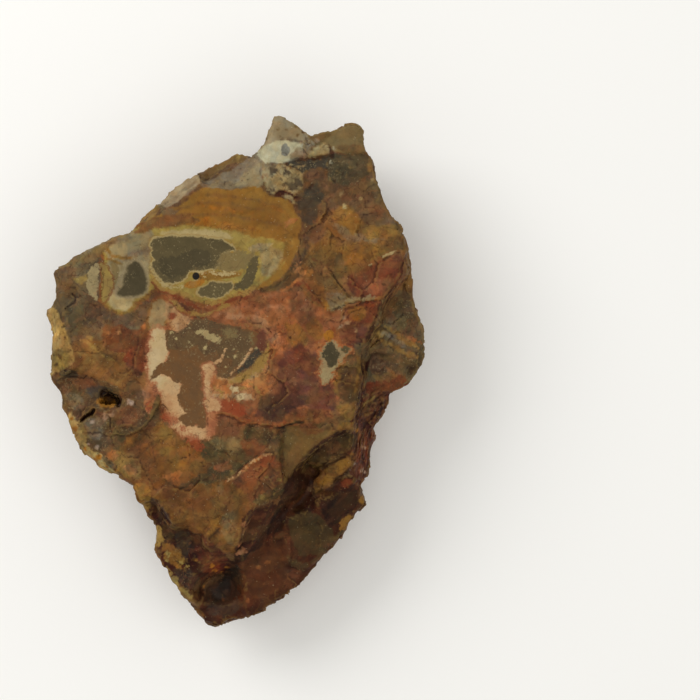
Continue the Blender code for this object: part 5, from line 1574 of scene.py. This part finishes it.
GLAZES = (
    Glaze(Tint.RUST, 9.0, 16.0, 35.0, 0.05, 0.25, 0.12),
    Glaze(Tint.OLIVE, 7.0, 15.0, 70.0, 0.12, 0.22, 0.18),
    Glaze(Tint.SAND, 5.0, 12.0, 10.0, 0.18, 0.20, 0.14),
    Glaze(Tint.PLUM, 11.0, 14.0, 60.0, 0.16, 0.22, 0.14),
    Glaze(Tint.UMBER, 3.0, 8.0, 52.0, 0.30, 0.16, 0.22),
    Glaze(Tint.CORAL, 3.4, 6.5, 25.0, 0.26, 0.16, 0.16),
    Glaze(Tint.DIM_OLIVE, 2.2, 5.0, 80.0, 0.32, 0.14, 0.22),
)


# how far round a stain its calm is measured in metres, and over how many mm it comes in
CALM_REACH = 3.0 * MM
CALM_EDGE = 2.0


def calm_at(plan: np.ndarray) -> np.ndarray:
    """Measures how calm the broad face is, from 0 in the chipped jasper to 1 in the smooth chert.

    Args:
        plan: Places on the broad face in metres, one a row.

    Returns:
        The calm at each place.
    """
    calm = np.zeros(len(plan))
    for stain in STAINS:
        if stain.calm > 0.0:
            cover = smooth_step(stain.depths(plan, CALM_REACH) / CALM_EDGE + 0.5)
            calm = np.maximum(calm, stain.calm * cover)
    return calm


def add(tree: bpy.types.NodeTree, kind: str, inputs: dict, out: str = "", **settings: object
        ) -> bpy.types.NodeSocket:
    """Adds a node with its settings, values and links.

    Args:
        tree: The material's node tree.
        kind: The node's type, without ShaderNode before it.
        inputs: A value or another node's output for each input, by identifier.
        out: The identifier of the output that is wanted, or nothing for the first one in use.
        settings: The node's settings.

    Returns:
        The node's output.
    """
    node = tree.nodes.new("ShaderNode" + kind)
    for name, value in settings.items():
        setattr(node, name, value)
    for name, value in inputs.items():
        socket = next(each for each in node.inputs if each.identifier == name)
        if isinstance(value, bpy.types.NodeSocket):
            tree.links.new(value, socket)
        else:
            socket.default_value = value
    used = [each for each in node.outputs if each.enabled]
    return next((each for each in used if out in ("", each.identifier)), None)


@dataclass(frozen=True)
class Level:
    """A level that a value shows over: where it starts, where it shows most, and how much there."""

    low: float
    high: float
    most: float = 1.0


@dataclass(frozen=True)
class Grain:
    """A noise cut off at a level: its features' span in mm, its seed, the level and its detail."""

    span: float
    seed: float
    level: Level
    detail: float = 3.0


@dataclass(frozen=True)
class Bed:
    """A streaky bed of one tint in the broken sides: span and run along the grain in mm."""

    tint: Tint
    span: float
    run: float
    above: float
    soft: float
    strength: float = 1.0

    def grain(self, seed: float) -> Grain:
        """Gives the noise that the bed is cut from."""
        level = Level(self.above - self.soft, self.above + self.soft, self.strength)
        return Grain(self.span, seed, level, 4.0)


BEDS = (
    Bed(Tint.OCHRE_BROWN, 16, 60, 0.50, 0.08),
    Bed(Tint.OLIVE_BROWN, 14, 50, 0.53, 0.07, 0.8),
    Bed(Tint.RUST, 18, 50, 0.54, 0.07, 0.7),
    Bed(Tint.TAN_CREAM, 7, 50, 0.58, 0.06, 0.6),
    Bed(Tint.SHOULDER, 9, 40, 0.56, 0.06, 0.7),
    Bed(Tint.OCHRE, 6, 50, 0.60, 0.05, 0.6),
    Bed(Tint.MAROON, 22, 44, 0.63, 0.05, 0.7),
    Bed(Tint.DUSK, 9, 40, 0.60, 0.05, 0.7),
    Bed(Tint.WHITE_CREAM, 5, 36, 0.65, 0.04, 0.6),
    Bed(Tint.REDDISH, 4, 40, 0.60, 0.05, 0.5),
)


@dataclass(frozen=True)
class Vein:
    """A thin wandering vein: its tint, how far it winds in mm, its seed, its width and strength."""

    tint: Tint
    span: float
    seed: float
    width: float
    strength: float


@dataclass(frozen=True)
class Grounds:
    """The noises that every stain shares, each about 0 to 1."""

    wide: bpy.types.NodeSocket
    fine: bpy.types.NodeSocket
    drift: bpy.types.NodeSocket
    spot: bpy.types.NodeSocket


@dataclass(frozen=True)
class AgatisedWood:
    """Agatised wood: wood turned to chert and jasper, broken by hammer and frost, not polished.

    It gives the eye crisp pools of dark chert with cream rims in rusty jasper, a dull waxy
    surface, pale bruised edges and fine grit. Sizes are in mm.
    """

    name: str = "agatised_wood_broken"
    ior: float = 1.54
    specular: float = 0.10
    roughness: tuple[float, float] = (0.48, 0.70)
    wide_wander: float = 3.2
    fine_wander: float = 0.9
    chip_span: float = 1.7
    chip_share: float = 0.20
    chip_shades: tuple[float, float] = (0.95, 1.05)
    drift: Grain = Grain(6.0, 3.0, Level(0.38, 0.64))
    grit_span: float = 0.45
    grit_share: float = 1.2
    bump_depth: float = 0.10
    bump_strength: float = 0.55
    edge_reach: float = 0.06
    side_edge: Level = Level(0.55, 0.95)
    bend_span: float = 30.0
    bend_reach: float = 12.0
    streaks: Grain = Grain(0.8, 40.0, Level(0.54, 0.72, 0.45))
    streak_share: float = 0.06
    veins: tuple[Vein, ...] = (
        Vein(Tint.MAROON, 9.0, 70.0, 0.009, 0.40),
        Vein(Tint.APRICOT, 8.0, 71.0, 0.007, 0.14),
        Vein(Tint.UMBER, 7.0, 72.0, 0.007, 0.26),
    )
    vein_core: float = 0.2
    lace_clusters: Grain = Grain(5.0, 50.0, Level(0.46, 0.60))
    lace_threads: Grain = Grain(0.85, 51.0, Level(0.555, 0.62))
    specks: tuple[tuple[Tint, Grain], ...] = (
        (Tint.BONE, Grain(0.75, 52.0, Level(0.67, 0.71, 0.45))),
        (Tint.UMBER, Grain(0.75, 53.0, Level(0.65, 0.69, 0.40))),
    )
    bruise: Level = Level(0.3, 1.5, 0.22)
    # painted shade: how far the hollows are darkened to umber
    hollow: Level = Level(-0.25, -1.4, 0.55)

    def material(self) -> bpy.types.Material:
        """Makes the stone's material.

        Returns:
            The material, which reads Object coordinates and the piece's own attributes.
        """
        made = bpy.data.materials.new(self.name)
        made.use_nodes = True
        tree = made.node_tree
        tree.nodes.clear()
        place = add(tree, "TexCoord", {}, "Object")
        grounds = self.grounds(tree, place)
        face = self.marbled(tree, place, self.painted_face(tree, grounds))
        sides = self.broken_sides(tree, place, grounds)
        share = add(tree, "Attribute", {}, "Fac", attribute_name=SIDE_SHARE)
        ragged = add(tree, "Math", {"Value": grounds.fine, "Value_001": 0.5, "Value_002": share},
                     operation="MULTIPLY_ADD")
        colour = self.over(tree, face, sides, self.step(tree, ragged, self.side_edge))
        colour = self.flecked(tree, place, colour)
        colour = self.bruised_and_shaded(tree, colour, grounds)
        self.surface(tree, place, colour, grounds)
        return made

    def noise(self, tree: bpy.types.NodeTree, place: bpy.types.NodeSocket, span: float,
              seed: float, detail: float = 3.0) -> bpy.types.NodeSocket:
        """Reads a noise whose features span a length.

        Args:
            tree: The node tree.
            place: Where it reads the noise.
            span: The features' span in mm.
            seed: Which of the noises it is.
            detail: How many finer layers it has.

        Returns:
            The noise, about 0 to 1.
        """
        return add(tree, "TexNoise", {"Vector": place, "W": seed, "Scale": 1 / (span * MM),
                                      "Detail": detail, "Roughness": 0.6}, noise_dimensions="4D")

    def step(self, tree: bpy.types.NodeTree, value: bpy.types.NodeSocket, level: Level
             ) -> bpy.types.NodeSocket:
        """Eases a value from 0 at the low end of a level to its most at the high end.

        It stays within them by itself. The node's own clamp is off, because Blender then works out
        every stain at once, which is more than its renderer holds.

        Args:
            tree: The node tree.
            value: The value.
            level: The level.

        Returns:
            The eased value.
        """
        return add(tree, "MapRange", {"Value": value, "From Min": level.low,
                                      "From Max": level.high, "To Max": level.most},
                   interpolation_type="SMOOTHSTEP", clamp=False)

    def cut(self, tree: bpy.types.NodeTree, place: bpy.types.NodeSocket, grain: Grain
            ) -> bpy.types.NodeSocket:
        """Reads a grain.

        Args:
            tree: The node tree.
            place: Where it reads the noise.
            grain: The grain.

        Returns:
            How much of the grain shows.
        """
        value = self.noise(tree, place, grain.span, grain.seed, grain.detail)
        return self.step(tree, value, grain.level)

    def over(self, tree: bpy.types.NodeTree, under: object, top: object, cover: object
             ) -> bpy.types.NodeSocket:
        """Lays one colour over another.

        Args:
            tree: The node tree.
            under: The colour below.
            top: The colour laid over it.
            cover: How much of it shows.

        Returns:
            The mixed colour.
        """
        return add(tree, "Mix", {"Factor_Float": cover, "A_Color": under, "B_Color": top},
                   data_type="RGBA")

    def stained(self, tree: bpy.types.NodeTree, under: bpy.types.NodeSocket, tint: Tint,
                cover: bpy.types.NodeSocket, drift: bpy.types.NodeSocket) -> bpy.types.NodeSocket:
        """Lays a tint over a colour, drifting between the tint's two tones.

        Args:
            tree: The node tree.
            under: The colour below.
            tint: The tint.
            cover: How much of it shows.
            drift: How far it drifts to its other tone.

        Returns:
            The stained colour.
        """
        usual, other = tint.value
        drifted = self.times(tree, cover, drift)
        return self.over(tree, self.over(tree, under, shown(usual), cover), shown(other), drifted)

    def times(self, tree: bpy.types.NodeTree, value: object, other: object) -> bpy.types.NodeSocket:
        """Multiplies two values."""
        return add(tree, "Math", {"Value": value, "Value_001": other}, operation="MULTIPLY")

    def stretched(self, tree: bpy.types.NodeTree, place: bpy.types.NodeSocket, share: float
                  ) -> bpy.types.NodeSocket:
        """Shortens places along the grain, which draws what is read there out along it."""
        return add(tree, "VectorMath", {"Vector": place, "Vector_001": (1.0, share, 1.0)},
                   operation="MULTIPLY")

    def grounds(self, tree: bpy.types.NodeTree, place: bpy.types.NodeSocket) -> Grounds:
        """Makes the noises that every stain shares.

        Args:
            tree: The node tree.
            place: Object coordinates.

        Returns:
            The noises.
        """
        chips = add(tree, "TexVoronoi", {"Vector": place, "Scale": 1 / (self.chip_span * MM)},
                    "Color")
        chip = add(tree, "SeparateColor", {"Color": chips}, "Red")
        mixed = add(tree, "Mix", {"Factor_Float": self.chip_share,
                                  "A_Float": self.cut(tree, place, self.drift), "B_Float": chip})
        return Grounds(self.noise(tree, place, self.wide_wander, 1.0, 2.0),
                       self.noise(tree, place, self.fine_wander, 2.0), mixed, chip)

    def painted_face(self, tree: bpy.types.NodeTree, grounds: Grounds) -> bpy.types.NodeSocket:
        """Lays the crisp stains over the skin's own tone.

        Args:
            tree: The node tree.
            grounds: The shared noises.

        Returns:
            The face's colour.
        """
        colour = add(tree, "Attribute", {}, "Color", attribute_name=SKIN_TONE)
        for number, stain in enumerate(CRISP):
            depth = add(tree, "Attribute", {}, "Fac", attribute_name=stain_mark(number))
            # a noise runs from about 0.25 to 0.75, so it is widened four times, and its middle comes off
            for noise_of, reach in ((grounds.wide, stain.wander), (grounds.fine, stain.fray)):
                depth = add(tree, "Math", {"Value": noise_of, "Value_001": 4 * reach,
                                           "Value_002": depth}, operation="MULTIPLY_ADD")
            middle = 2 * (stain.wander + stain.fray)
            half = 0.8 * stain.edge
            for tint, grow, strength in stain.rims:
                rim = Level(middle - grow - half, middle - grow + half, strength)
                colour = self.over(tree, colour, shown(tint.value[0]), self.step(tree, depth, rim))
            cover = self.step(tree, depth, Level(middle - half, middle + half, stain.strength))
            colour = self.stained(tree, colour, stain.tint, cover, grounds.drift)
        return colour

    def broken_sides(self, tree: bpy.types.NodeTree, place: bpy.types.NodeSocket, grounds: Grounds
                     ) -> bpy.types.NodeSocket:
        """Draws the beds of the broken sides and back, which run along the grain.

        Args:
            tree: The node tree.
            place: Object coordinates.
            grounds: The shared noises.

        Returns:
            The sides' colour.
        """
        reach = self.bend_reach * MM
        bend = self.noise(tree, place, self.bend_span, 9.0)
        bent = add(tree, "VectorMath", {"Vector": (reach, 0.0, reach), "Scale": bend},
                   operation="SCALE")
        base = add(tree, "VectorMath", {"Vector": place, "Vector_001": bent}, operation="ADD")
        colour = self.over(tree, *map(shown, Tint.BROWN.value), grounds.drift)
        for number, bed in enumerate(BEDS):
            along = self.stretched(tree, base, bed.span / bed.run)
            cover = self.cut(tree, along, bed.grain(20.0 + number))
            colour = self.stained(tree, colour, bed.tint, cover, grounds.drift)
        along = self.stretched(tree, base, self.streak_share)
        return self.over(tree, colour, shown(Tint.UMBER.value[0]), self.cut(tree, along, self.streaks))

    def marbled(self, tree: bpy.types.NodeTree, place: bpy.types.NodeSocket,
                colour: bpy.types.NodeSocket) -> bpy.types.NodeSocket:
        """Draws the thin wandering veins of the jasper.

        Args:
            tree: The node tree.
            place: Object coordinates.
            colour: The colour so far.

        Returns:
            The veined colour.
        """
        marbling = add(tree, "Attribute", {}, "Fac", attribute_name=MARBLING)
        for vein in self.veins:
            winding = self.noise(tree, place, vein.span, vein.seed, 2.0)
            off = add(tree, "Math", {"Value": winding, "Value_001": 0.5}, operation="SUBTRACT")
            off = add(tree, "Math", {"Value": off}, operation="ABSOLUTE")
            line = self.step(tree, off, Level(vein.width, self.vein_core * vein.width, vein.strength))
            colour = self.over(tree, colour, shown(vein.tint.value[0]),
                               self.times(tree, line, marbling))
        return colour

    def flecked(self, tree: bpy.types.NodeTree, place: bpy.types.NodeSocket,
                colour: bpy.types.NodeSocket) -> bpy.types.NodeSocket:
        """Adds the pale lace in the chert and the pin specks of the whole stone.

        Args:
            tree: The node tree.
            place: Object coordinates.
            colour: The colour so far.

        Returns:
            The flecked colour.
        """
        lace = add(tree, "Attribute", {}, "Fac", attribute_name=LACE)
        laced = self.times(tree, self.cut(tree, place, self.lace_clusters),
                           self.cut(tree, place, self.lace_threads))
        colour = self.over(tree, colour, shown(Tint.GREY_CREAM.value[1]),
                           self.times(tree, laced, lace))
        for tint, grain in self.specks:
            colour = self.over(tree, colour, shown(tint.value[0]), self.cut(tree, place, grain))
        return colour

    def bruised_and_shaded(self, tree: bpy.types.NodeTree, colour: bpy.types.NodeSocket, grounds: Grounds
             ) -> bpy.types.NodeSocket:
        """Bruises the edges pale, paints shade into the hollows and varies the tone chip by chip.

        Args:
            tree: The node tree.
            colour: The colour so far.
            grounds: The shared noises.

        Returns:
            The colour with bruised edges and painted shade in the hollows.
        """
        wear_and_shade = add(tree, "Attribute", {}, "Fac", attribute_name=EDGE_WEAR_AND_SHADE)
        # the sand is the pale bruising of the edges, and the umber is painted shade in the hollows
        for tint, level in ((Tint.SAND, self.bruise), (Tint.UMBER, self.hollow)):
            colour = self.over(tree, colour, shown(tint.value[0]), self.step(tree, wear_and_shade, level))
        low, high = self.chip_shades
        chip = add(tree, "MapRange", {"Value": grounds.spot, "To Min": low, "To Max": high})
        return add(tree, "VectorMath", {"Vector": colour, "Scale": chip}, operation="SCALE")

    def surface(self, tree: bpy.types.NodeTree, place: bpy.types.NodeSocket,
                colour: bpy.types.NodeSocket, grounds: Grounds) -> None:
        """Ends the material in a dull waxy stone surface with fine grit.

        Args:
            tree: The node tree.
            place: Object coordinates.
            colour: The stone's colour.
            grounds: The shared noises.
        """
        grit = self.noise(tree, place, self.grit_span, 60.0)
        height = add(tree, "Math", {"Value": grounds.fine, "Value_001": self.grit_share,
                                    "Value_002": grit}, operation="MULTIPLY_ADD")
        low, high = self.roughness
        dull = add(tree, "MapRange", {"Value": grounds.drift, "To Min": low, "To Max": high})
        bump = add(tree, "Bump", {"Strength": self.bump_strength, "Height": height,
                                  "Distance": self.bump_depth * MM})
        shader = add(tree, "BsdfPrincipled", {"Base Color": colour, "Roughness": dull,
                                              "IOR": self.ior, "Normal": bump,
                                              "Specular IOR Level": self.specular})
        add(tree, "OutputMaterial", {"Surface": shader})


SIDE_SHARE = "side_share"
EDGE_WEAR_AND_SHADE = "edge_wear_and_hollow_shade"
SKIN_TONE = "skin_tone"
MARBLING = "marbling"
LACE = "lace"


def stain_mark(number: int) -> str:
    """Names the attribute that holds a stain's depth."""
    return f"stain_{number:03d}"


@dataclass(frozen=True)
class Mottle:
    """A patchwork of shades in the jasper: a patch's span in mm, and how far its shades part.

    Light and warmth say how much a patch's tone may go either way, and seam how dark the joins
    between the patches are.
    """

    span: float
    light: float
    warmth: float
    seam: float


@dataclass
class DressedStone:
    """The stone: its worked skin, the marks that its finish reads, and the finish.

    Spans are in mm. Each soft stain drifts between its tint's two tones by one of the drifts,
    each a shift and a span, in turn.
    """

    skin: StoneSkin = field(default_factory=StoneSkin)
    finish: AgatisedWood = field(default_factory=AgatisedWood)
    folds: tuple[Fold, ...] = (Fold(9.0, 0.9), Fold(2.6, 0.45))
    wide_span: float = 4.0
    fine_span: float = 1.4
    drifts: tuple[tuple[float, float], ...] = ((0.2, 6.0), (0.3, 3.0), (0.4, 10.0))
    drift_swing: float = 0.9
    edge_share: float = 0.7
    softest: float = 0.5
    least_lace: float = 0.06
    mottles: tuple[Mottle, ...] = (
        Mottle(9.0, 0.36, 0.24, 0.14),
        Mottle(3.6, 0.30, 0.22, 0.08),
        Mottle(1.5, 0.14, 0.12, 0.0),
    )
    least_mottling: float = 0.25
    warmer: tuple[float, float, float] = (0.5, -0.15, -1.0)
    join_width: float = 0.10

    def build(self) -> bpy.types.Object:
        """Builds the stone and dresses it.

        Returns:
            The finished piece.
        """
        piece = self.skin.build()
        self.dress()
        return piece

    def dress(self) -> None:
        """Marks the skin with its tone, stains and wear, and gives it its finish."""
        skin = self.skin
        sides = skin.side_share()
        faced = np.flatnonzero(sides < 0.999)
        spots = skin.places()[faced]
        plan = spots[:, :2] + sum(fold.at(spots)[:, :2] for fold in self.folds)
        tone, marbling, lace = self.mixed_tone(spots, plan)
        everywhere = np.tile(shown(Tint.BROWN.value[0])[:3], (len(sides), 1))
        everywhere[faced] = tone
        skin.tint(SKIN_TONE, everywhere)
        for name, values in ((MARBLING, marbling), (LACE, lace)):
            marks = np.zeros(len(sides))
            marks[faced] = values
            skin.mark(name, marks)
        for number, stain in enumerate(CRISP):
            depths = np.full(len(sides), -skin.stain_reach / MM)
            depths[faced] = stain.depths(plan, skin.stain_reach)
            skin.mark(stain_mark(number), depths)
        skin.mark(SIDE_SHARE, sides)
        skin.mark(EDGE_WEAR_AND_SHADE, skin.sharpness(self.finish.edge_reach * MM))
        skin.piece.data.materials.append(self.finish.material())
        LOG.info("%s: %d stains", skin.piece.name, len(STAINS))

    def cover(self, depth: np.ndarray, edge: float) -> np.ndarray:
        """Eases a stain in from outside its edge to inside it, both in mm."""
        return smooth_step(depth / max(self.edge_share * edge, self.softest) + 0.5)

    def mixed_tone(self, spots: np.ndarray, plan: np.ndarray
                   ) -> tuple[np.ndarray, np.ndarray, np.ndarray]:
        """Lays the soft stains, the mottling and the glazes over one another.

        Args:
            spots: Places on the broad face, one a row.
            plan: The same places in plan, shifted into folds.

        Returns:
            The tone at each place, how much marbling it takes, and how much lace.
        """
        wide = roughness_at(spots, self.wide_span * MM)
        fine = roughness_at(spots + 0.1, self.fine_span * MM)
        swings = (self.drift_swing * roughness_at(spots + shift, span * MM, 3)
                  for shift, span in self.drifts)
        drifts = [smooth_step(0.5 + swing)[:, None] for swing in swings]
        tone = np.tile(linear(Tint.BROWN.value[0])[:3], (len(spots), 1))
        marbling = np.full(len(spots), 1.0)
        lace = np.full(len(spots), self.least_lace)
        for number, stain in enumerate(STAINS):
            depth = stain.depths(plan, self.skin.stain_reach)
            depth = depth + stain.wander * wide + stain.fray * fine
            cover = stain.strength * self.cover(depth, stain.edge)
            lace += (stain.specks - lace) * cover
            marbling += (1.0 - stain.calm - marbling) * cover
            if stain.crisp:
                continue
            for tint, grow, strength in stain.rims:
                rim = strength * self.cover(depth + grow, stain.edge)[:, None]
                tone += (np.array(linear(tint.value[0])[:3]) - tone) * rim
            usual, other = (np.array(linear(hexed)[:3]) for hexed in stain.tint.value)
            drift = drifts[number % len(drifts)]
            tone += (usual + (other - usual) * drift - tone) * cover[:, None]
        tone = self.mottled(spots, tone, marbling)
        return Depth.of(self.glazed(spots, tone, marbling)), marbling, lace

    def mottled(self, spots: np.ndarray, tone: np.ndarray, marbling: np.ndarray) -> np.ndarray:
        """Gives each chip and clot of the jasper a shade of its own, with fine dark joins.

        Args:
            spots: Places on the broad face, one a row.
            tone: The tone at each place.
            marbling: How much marbling each place takes.

        Returns:
            The mottled tone.
        """
        share = (self.least_mottling + (1.0 - self.least_mottling) * marbling)[:, None]
        for mottle in self.mottles:
            span = mottle.span
            folded = spots + Fold(0.6 * span, 0.35 * span).at(spots + 0.01 * span)
            chances, margins = patches_at(folded, span * MM)
            lighter = mottle.light * (chances[:, :1] - 0.5)
            warmer = mottle.warmth * (chances[:, 1:2] - 0.5) * np.array(self.warmer)
            tone = tone * (1.0 + share * (lighter + warmer))
            # only some of the joins show, by the patch's third chance
            shows = smooth_step(chances[:, 2] * 2.0 - 0.6)
            join = mottle.seam * smooth_step(1.0 - margins / self.join_width) * shows
            tone = tone * (1.0 - share * join[:, None])
        return tone

    def glazed(self, spots: np.ndarray, tone: np.ndarray, marbling: np.ndarray) -> np.ndarray:
        """Lays the streaky glazes over the tone.

        Args:
            spots: Places on the broad face, one a row.
            tone: The tone at each place.
            marbling: How much marbling each place takes.

        Returns:
            The glazed tone.
        """
        for number, glaze in enumerate(GLAZES):
            turn = math.radians(glaze.heading)
            along = spots[:, 0] * math.cos(turn) + spots[:, 1] * math.sin(turn)
            across = spots[:, 1] * math.cos(turn) - spots[:, 0] * math.sin(turn)
            laid = np.stack((along, across, spots[:, 2] + 0.05 * number), axis=1)
            laid += Fold(2.0 * glaze.span, 0.5 * glaze.span).at(laid)
            level = roughness_at(laid, glaze.span * MM, 3, (glaze.run / glaze.span, 1.0, 1.0))
            cover = glaze.strength * smooth_step((level - glaze.above) / glaze.soft + 0.5)
            shade = np.array(linear(glaze.tint.value[0])[:3])
            tone = tone + (shade - tone) * (cover * marbling)[:, None]
        return tone


@dataclass(frozen=True)
class PaleFloor:
    """A floor of matt white laminate, smooth-pressed, which gives the eye a plain pale ground."""

    half: float = 2.0
    roughness: float = 0.6
    colour: str = "#f3f2ef"

    def build(self) -> bpy.types.Object:
        """Lays the floor under the stone.

        Returns:
            The floor.
        """
        bpy.ops.object.select_all(action="DESELECT")
        bpy.ops.mesh.primitive_plane_add(size=2 * self.half, location=(0.0, 0.0, 0.0))
        floor = bpy.context.active_object
        floor.name = "pale_floor"
        made = bpy.data.materials.new("matt_white_laminate")
        made.use_nodes = True
        tree = made.node_tree
        tree.nodes.clear()
        shader = add(tree, "BsdfPrincipled", {"Base Color": linear(self.colour),
                                              "Roughness": self.roughness})
        add(tree, "OutputMaterial", {"Surface": shader})
        floor.data.materials.append(made)
        return floor


@dataclass(frozen=True)
class SoftBox:
    """A soft light: where it stands, how wide it is, in metres, and its power in watts."""

    name: str
    place: tuple[float, float, float]
    width: float
    power: float

    def build(self) -> bpy.types.Object:
        """Hangs the light, turned to the stone.

        Returns:
            The light.
        """
        lamp = bpy.data.lights.new(self.name, "AREA")
        lamp.shape = "DISK"
        lamp.size = self.width
        lamp.energy = self.power
        light = bpy.data.objects.new(self.name, lamp)
        bpy.context.scene.collection.objects.link(light)
        light.location = self.place
        light.rotation_euler = Vector(self.place).to_track_quat("Z", "Y").to_euler()
        return light


@dataclass(frozen=True)
class Studio:
    """The plain studio: floor, soft lights and a camera that looks straight down."""

    floor: PaleFloor = PaleFloor()
    lights: tuple[SoftBox, ...] = (
        SoftBox("key from the upper left", (-0.95, 0.80, 1.05), 1.1, 13.0),
        SoftBox("fill from above", (0.5, -0.3, 1.9), 2.2, 11.0),
    )
    sky: float = 0.60
    frame_width: float = 0.28
    frame_middle: tuple[float, float] = (350.0, 350.0)
    face_height: float = 0.050
    lens: float = 250.0
    sensor: float = 36.0

    def build(self) -> bpy.types.Object:
        """Sets the studio up.

        Returns:
            The floor, which is no part of the stone.
        """
        for light in self.lights:
            light.build()
        world = bpy.data.worlds.new("soft studio")
        world.use_nodes = True
        world.node_tree.nodes["Background"].inputs["Color"].default_value = linear("#fbfaf6")
        world.node_tree.nodes["Background"].inputs["Strength"].default_value = self.sky
        bpy.context.scene.world = world
        bpy.context.scene.view_settings.view_transform = "Standard"
        self.aim_camera()
        return self.floor.build()

    def aim_camera(self) -> None:
        """Hangs the camera straight above the middle of the frame."""
        seen = bpy.data.cameras.new("camera")
        seen.lens = self.lens
        seen.sensor_width = self.sensor
        camera = bpy.data.objects.new("camera", seen)
        bpy.context.scene.collection.objects.link(camera)
        across, up = Grid.place(self.frame_middle)[0]
        away = self.lens / self.sensor * self.frame_width
        camera.location = (across, up, self.face_height + away)
        bpy.context.scene.camera = camera


def main() -> None:
    """Builds the stone and its studio, and reports each piece."""
    logging.basicConfig(level=logging.INFO, format="%(name)s: %(message)s")
    noise.seed_set(NOISE_SEED)
    stone = DressedStone().build()
    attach(stone, "root")
    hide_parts(NODE)
    LOG.info("stone ready")
    Studio().build()
    LOG.info("studio ready")


if __name__ == "__main__":
    main()
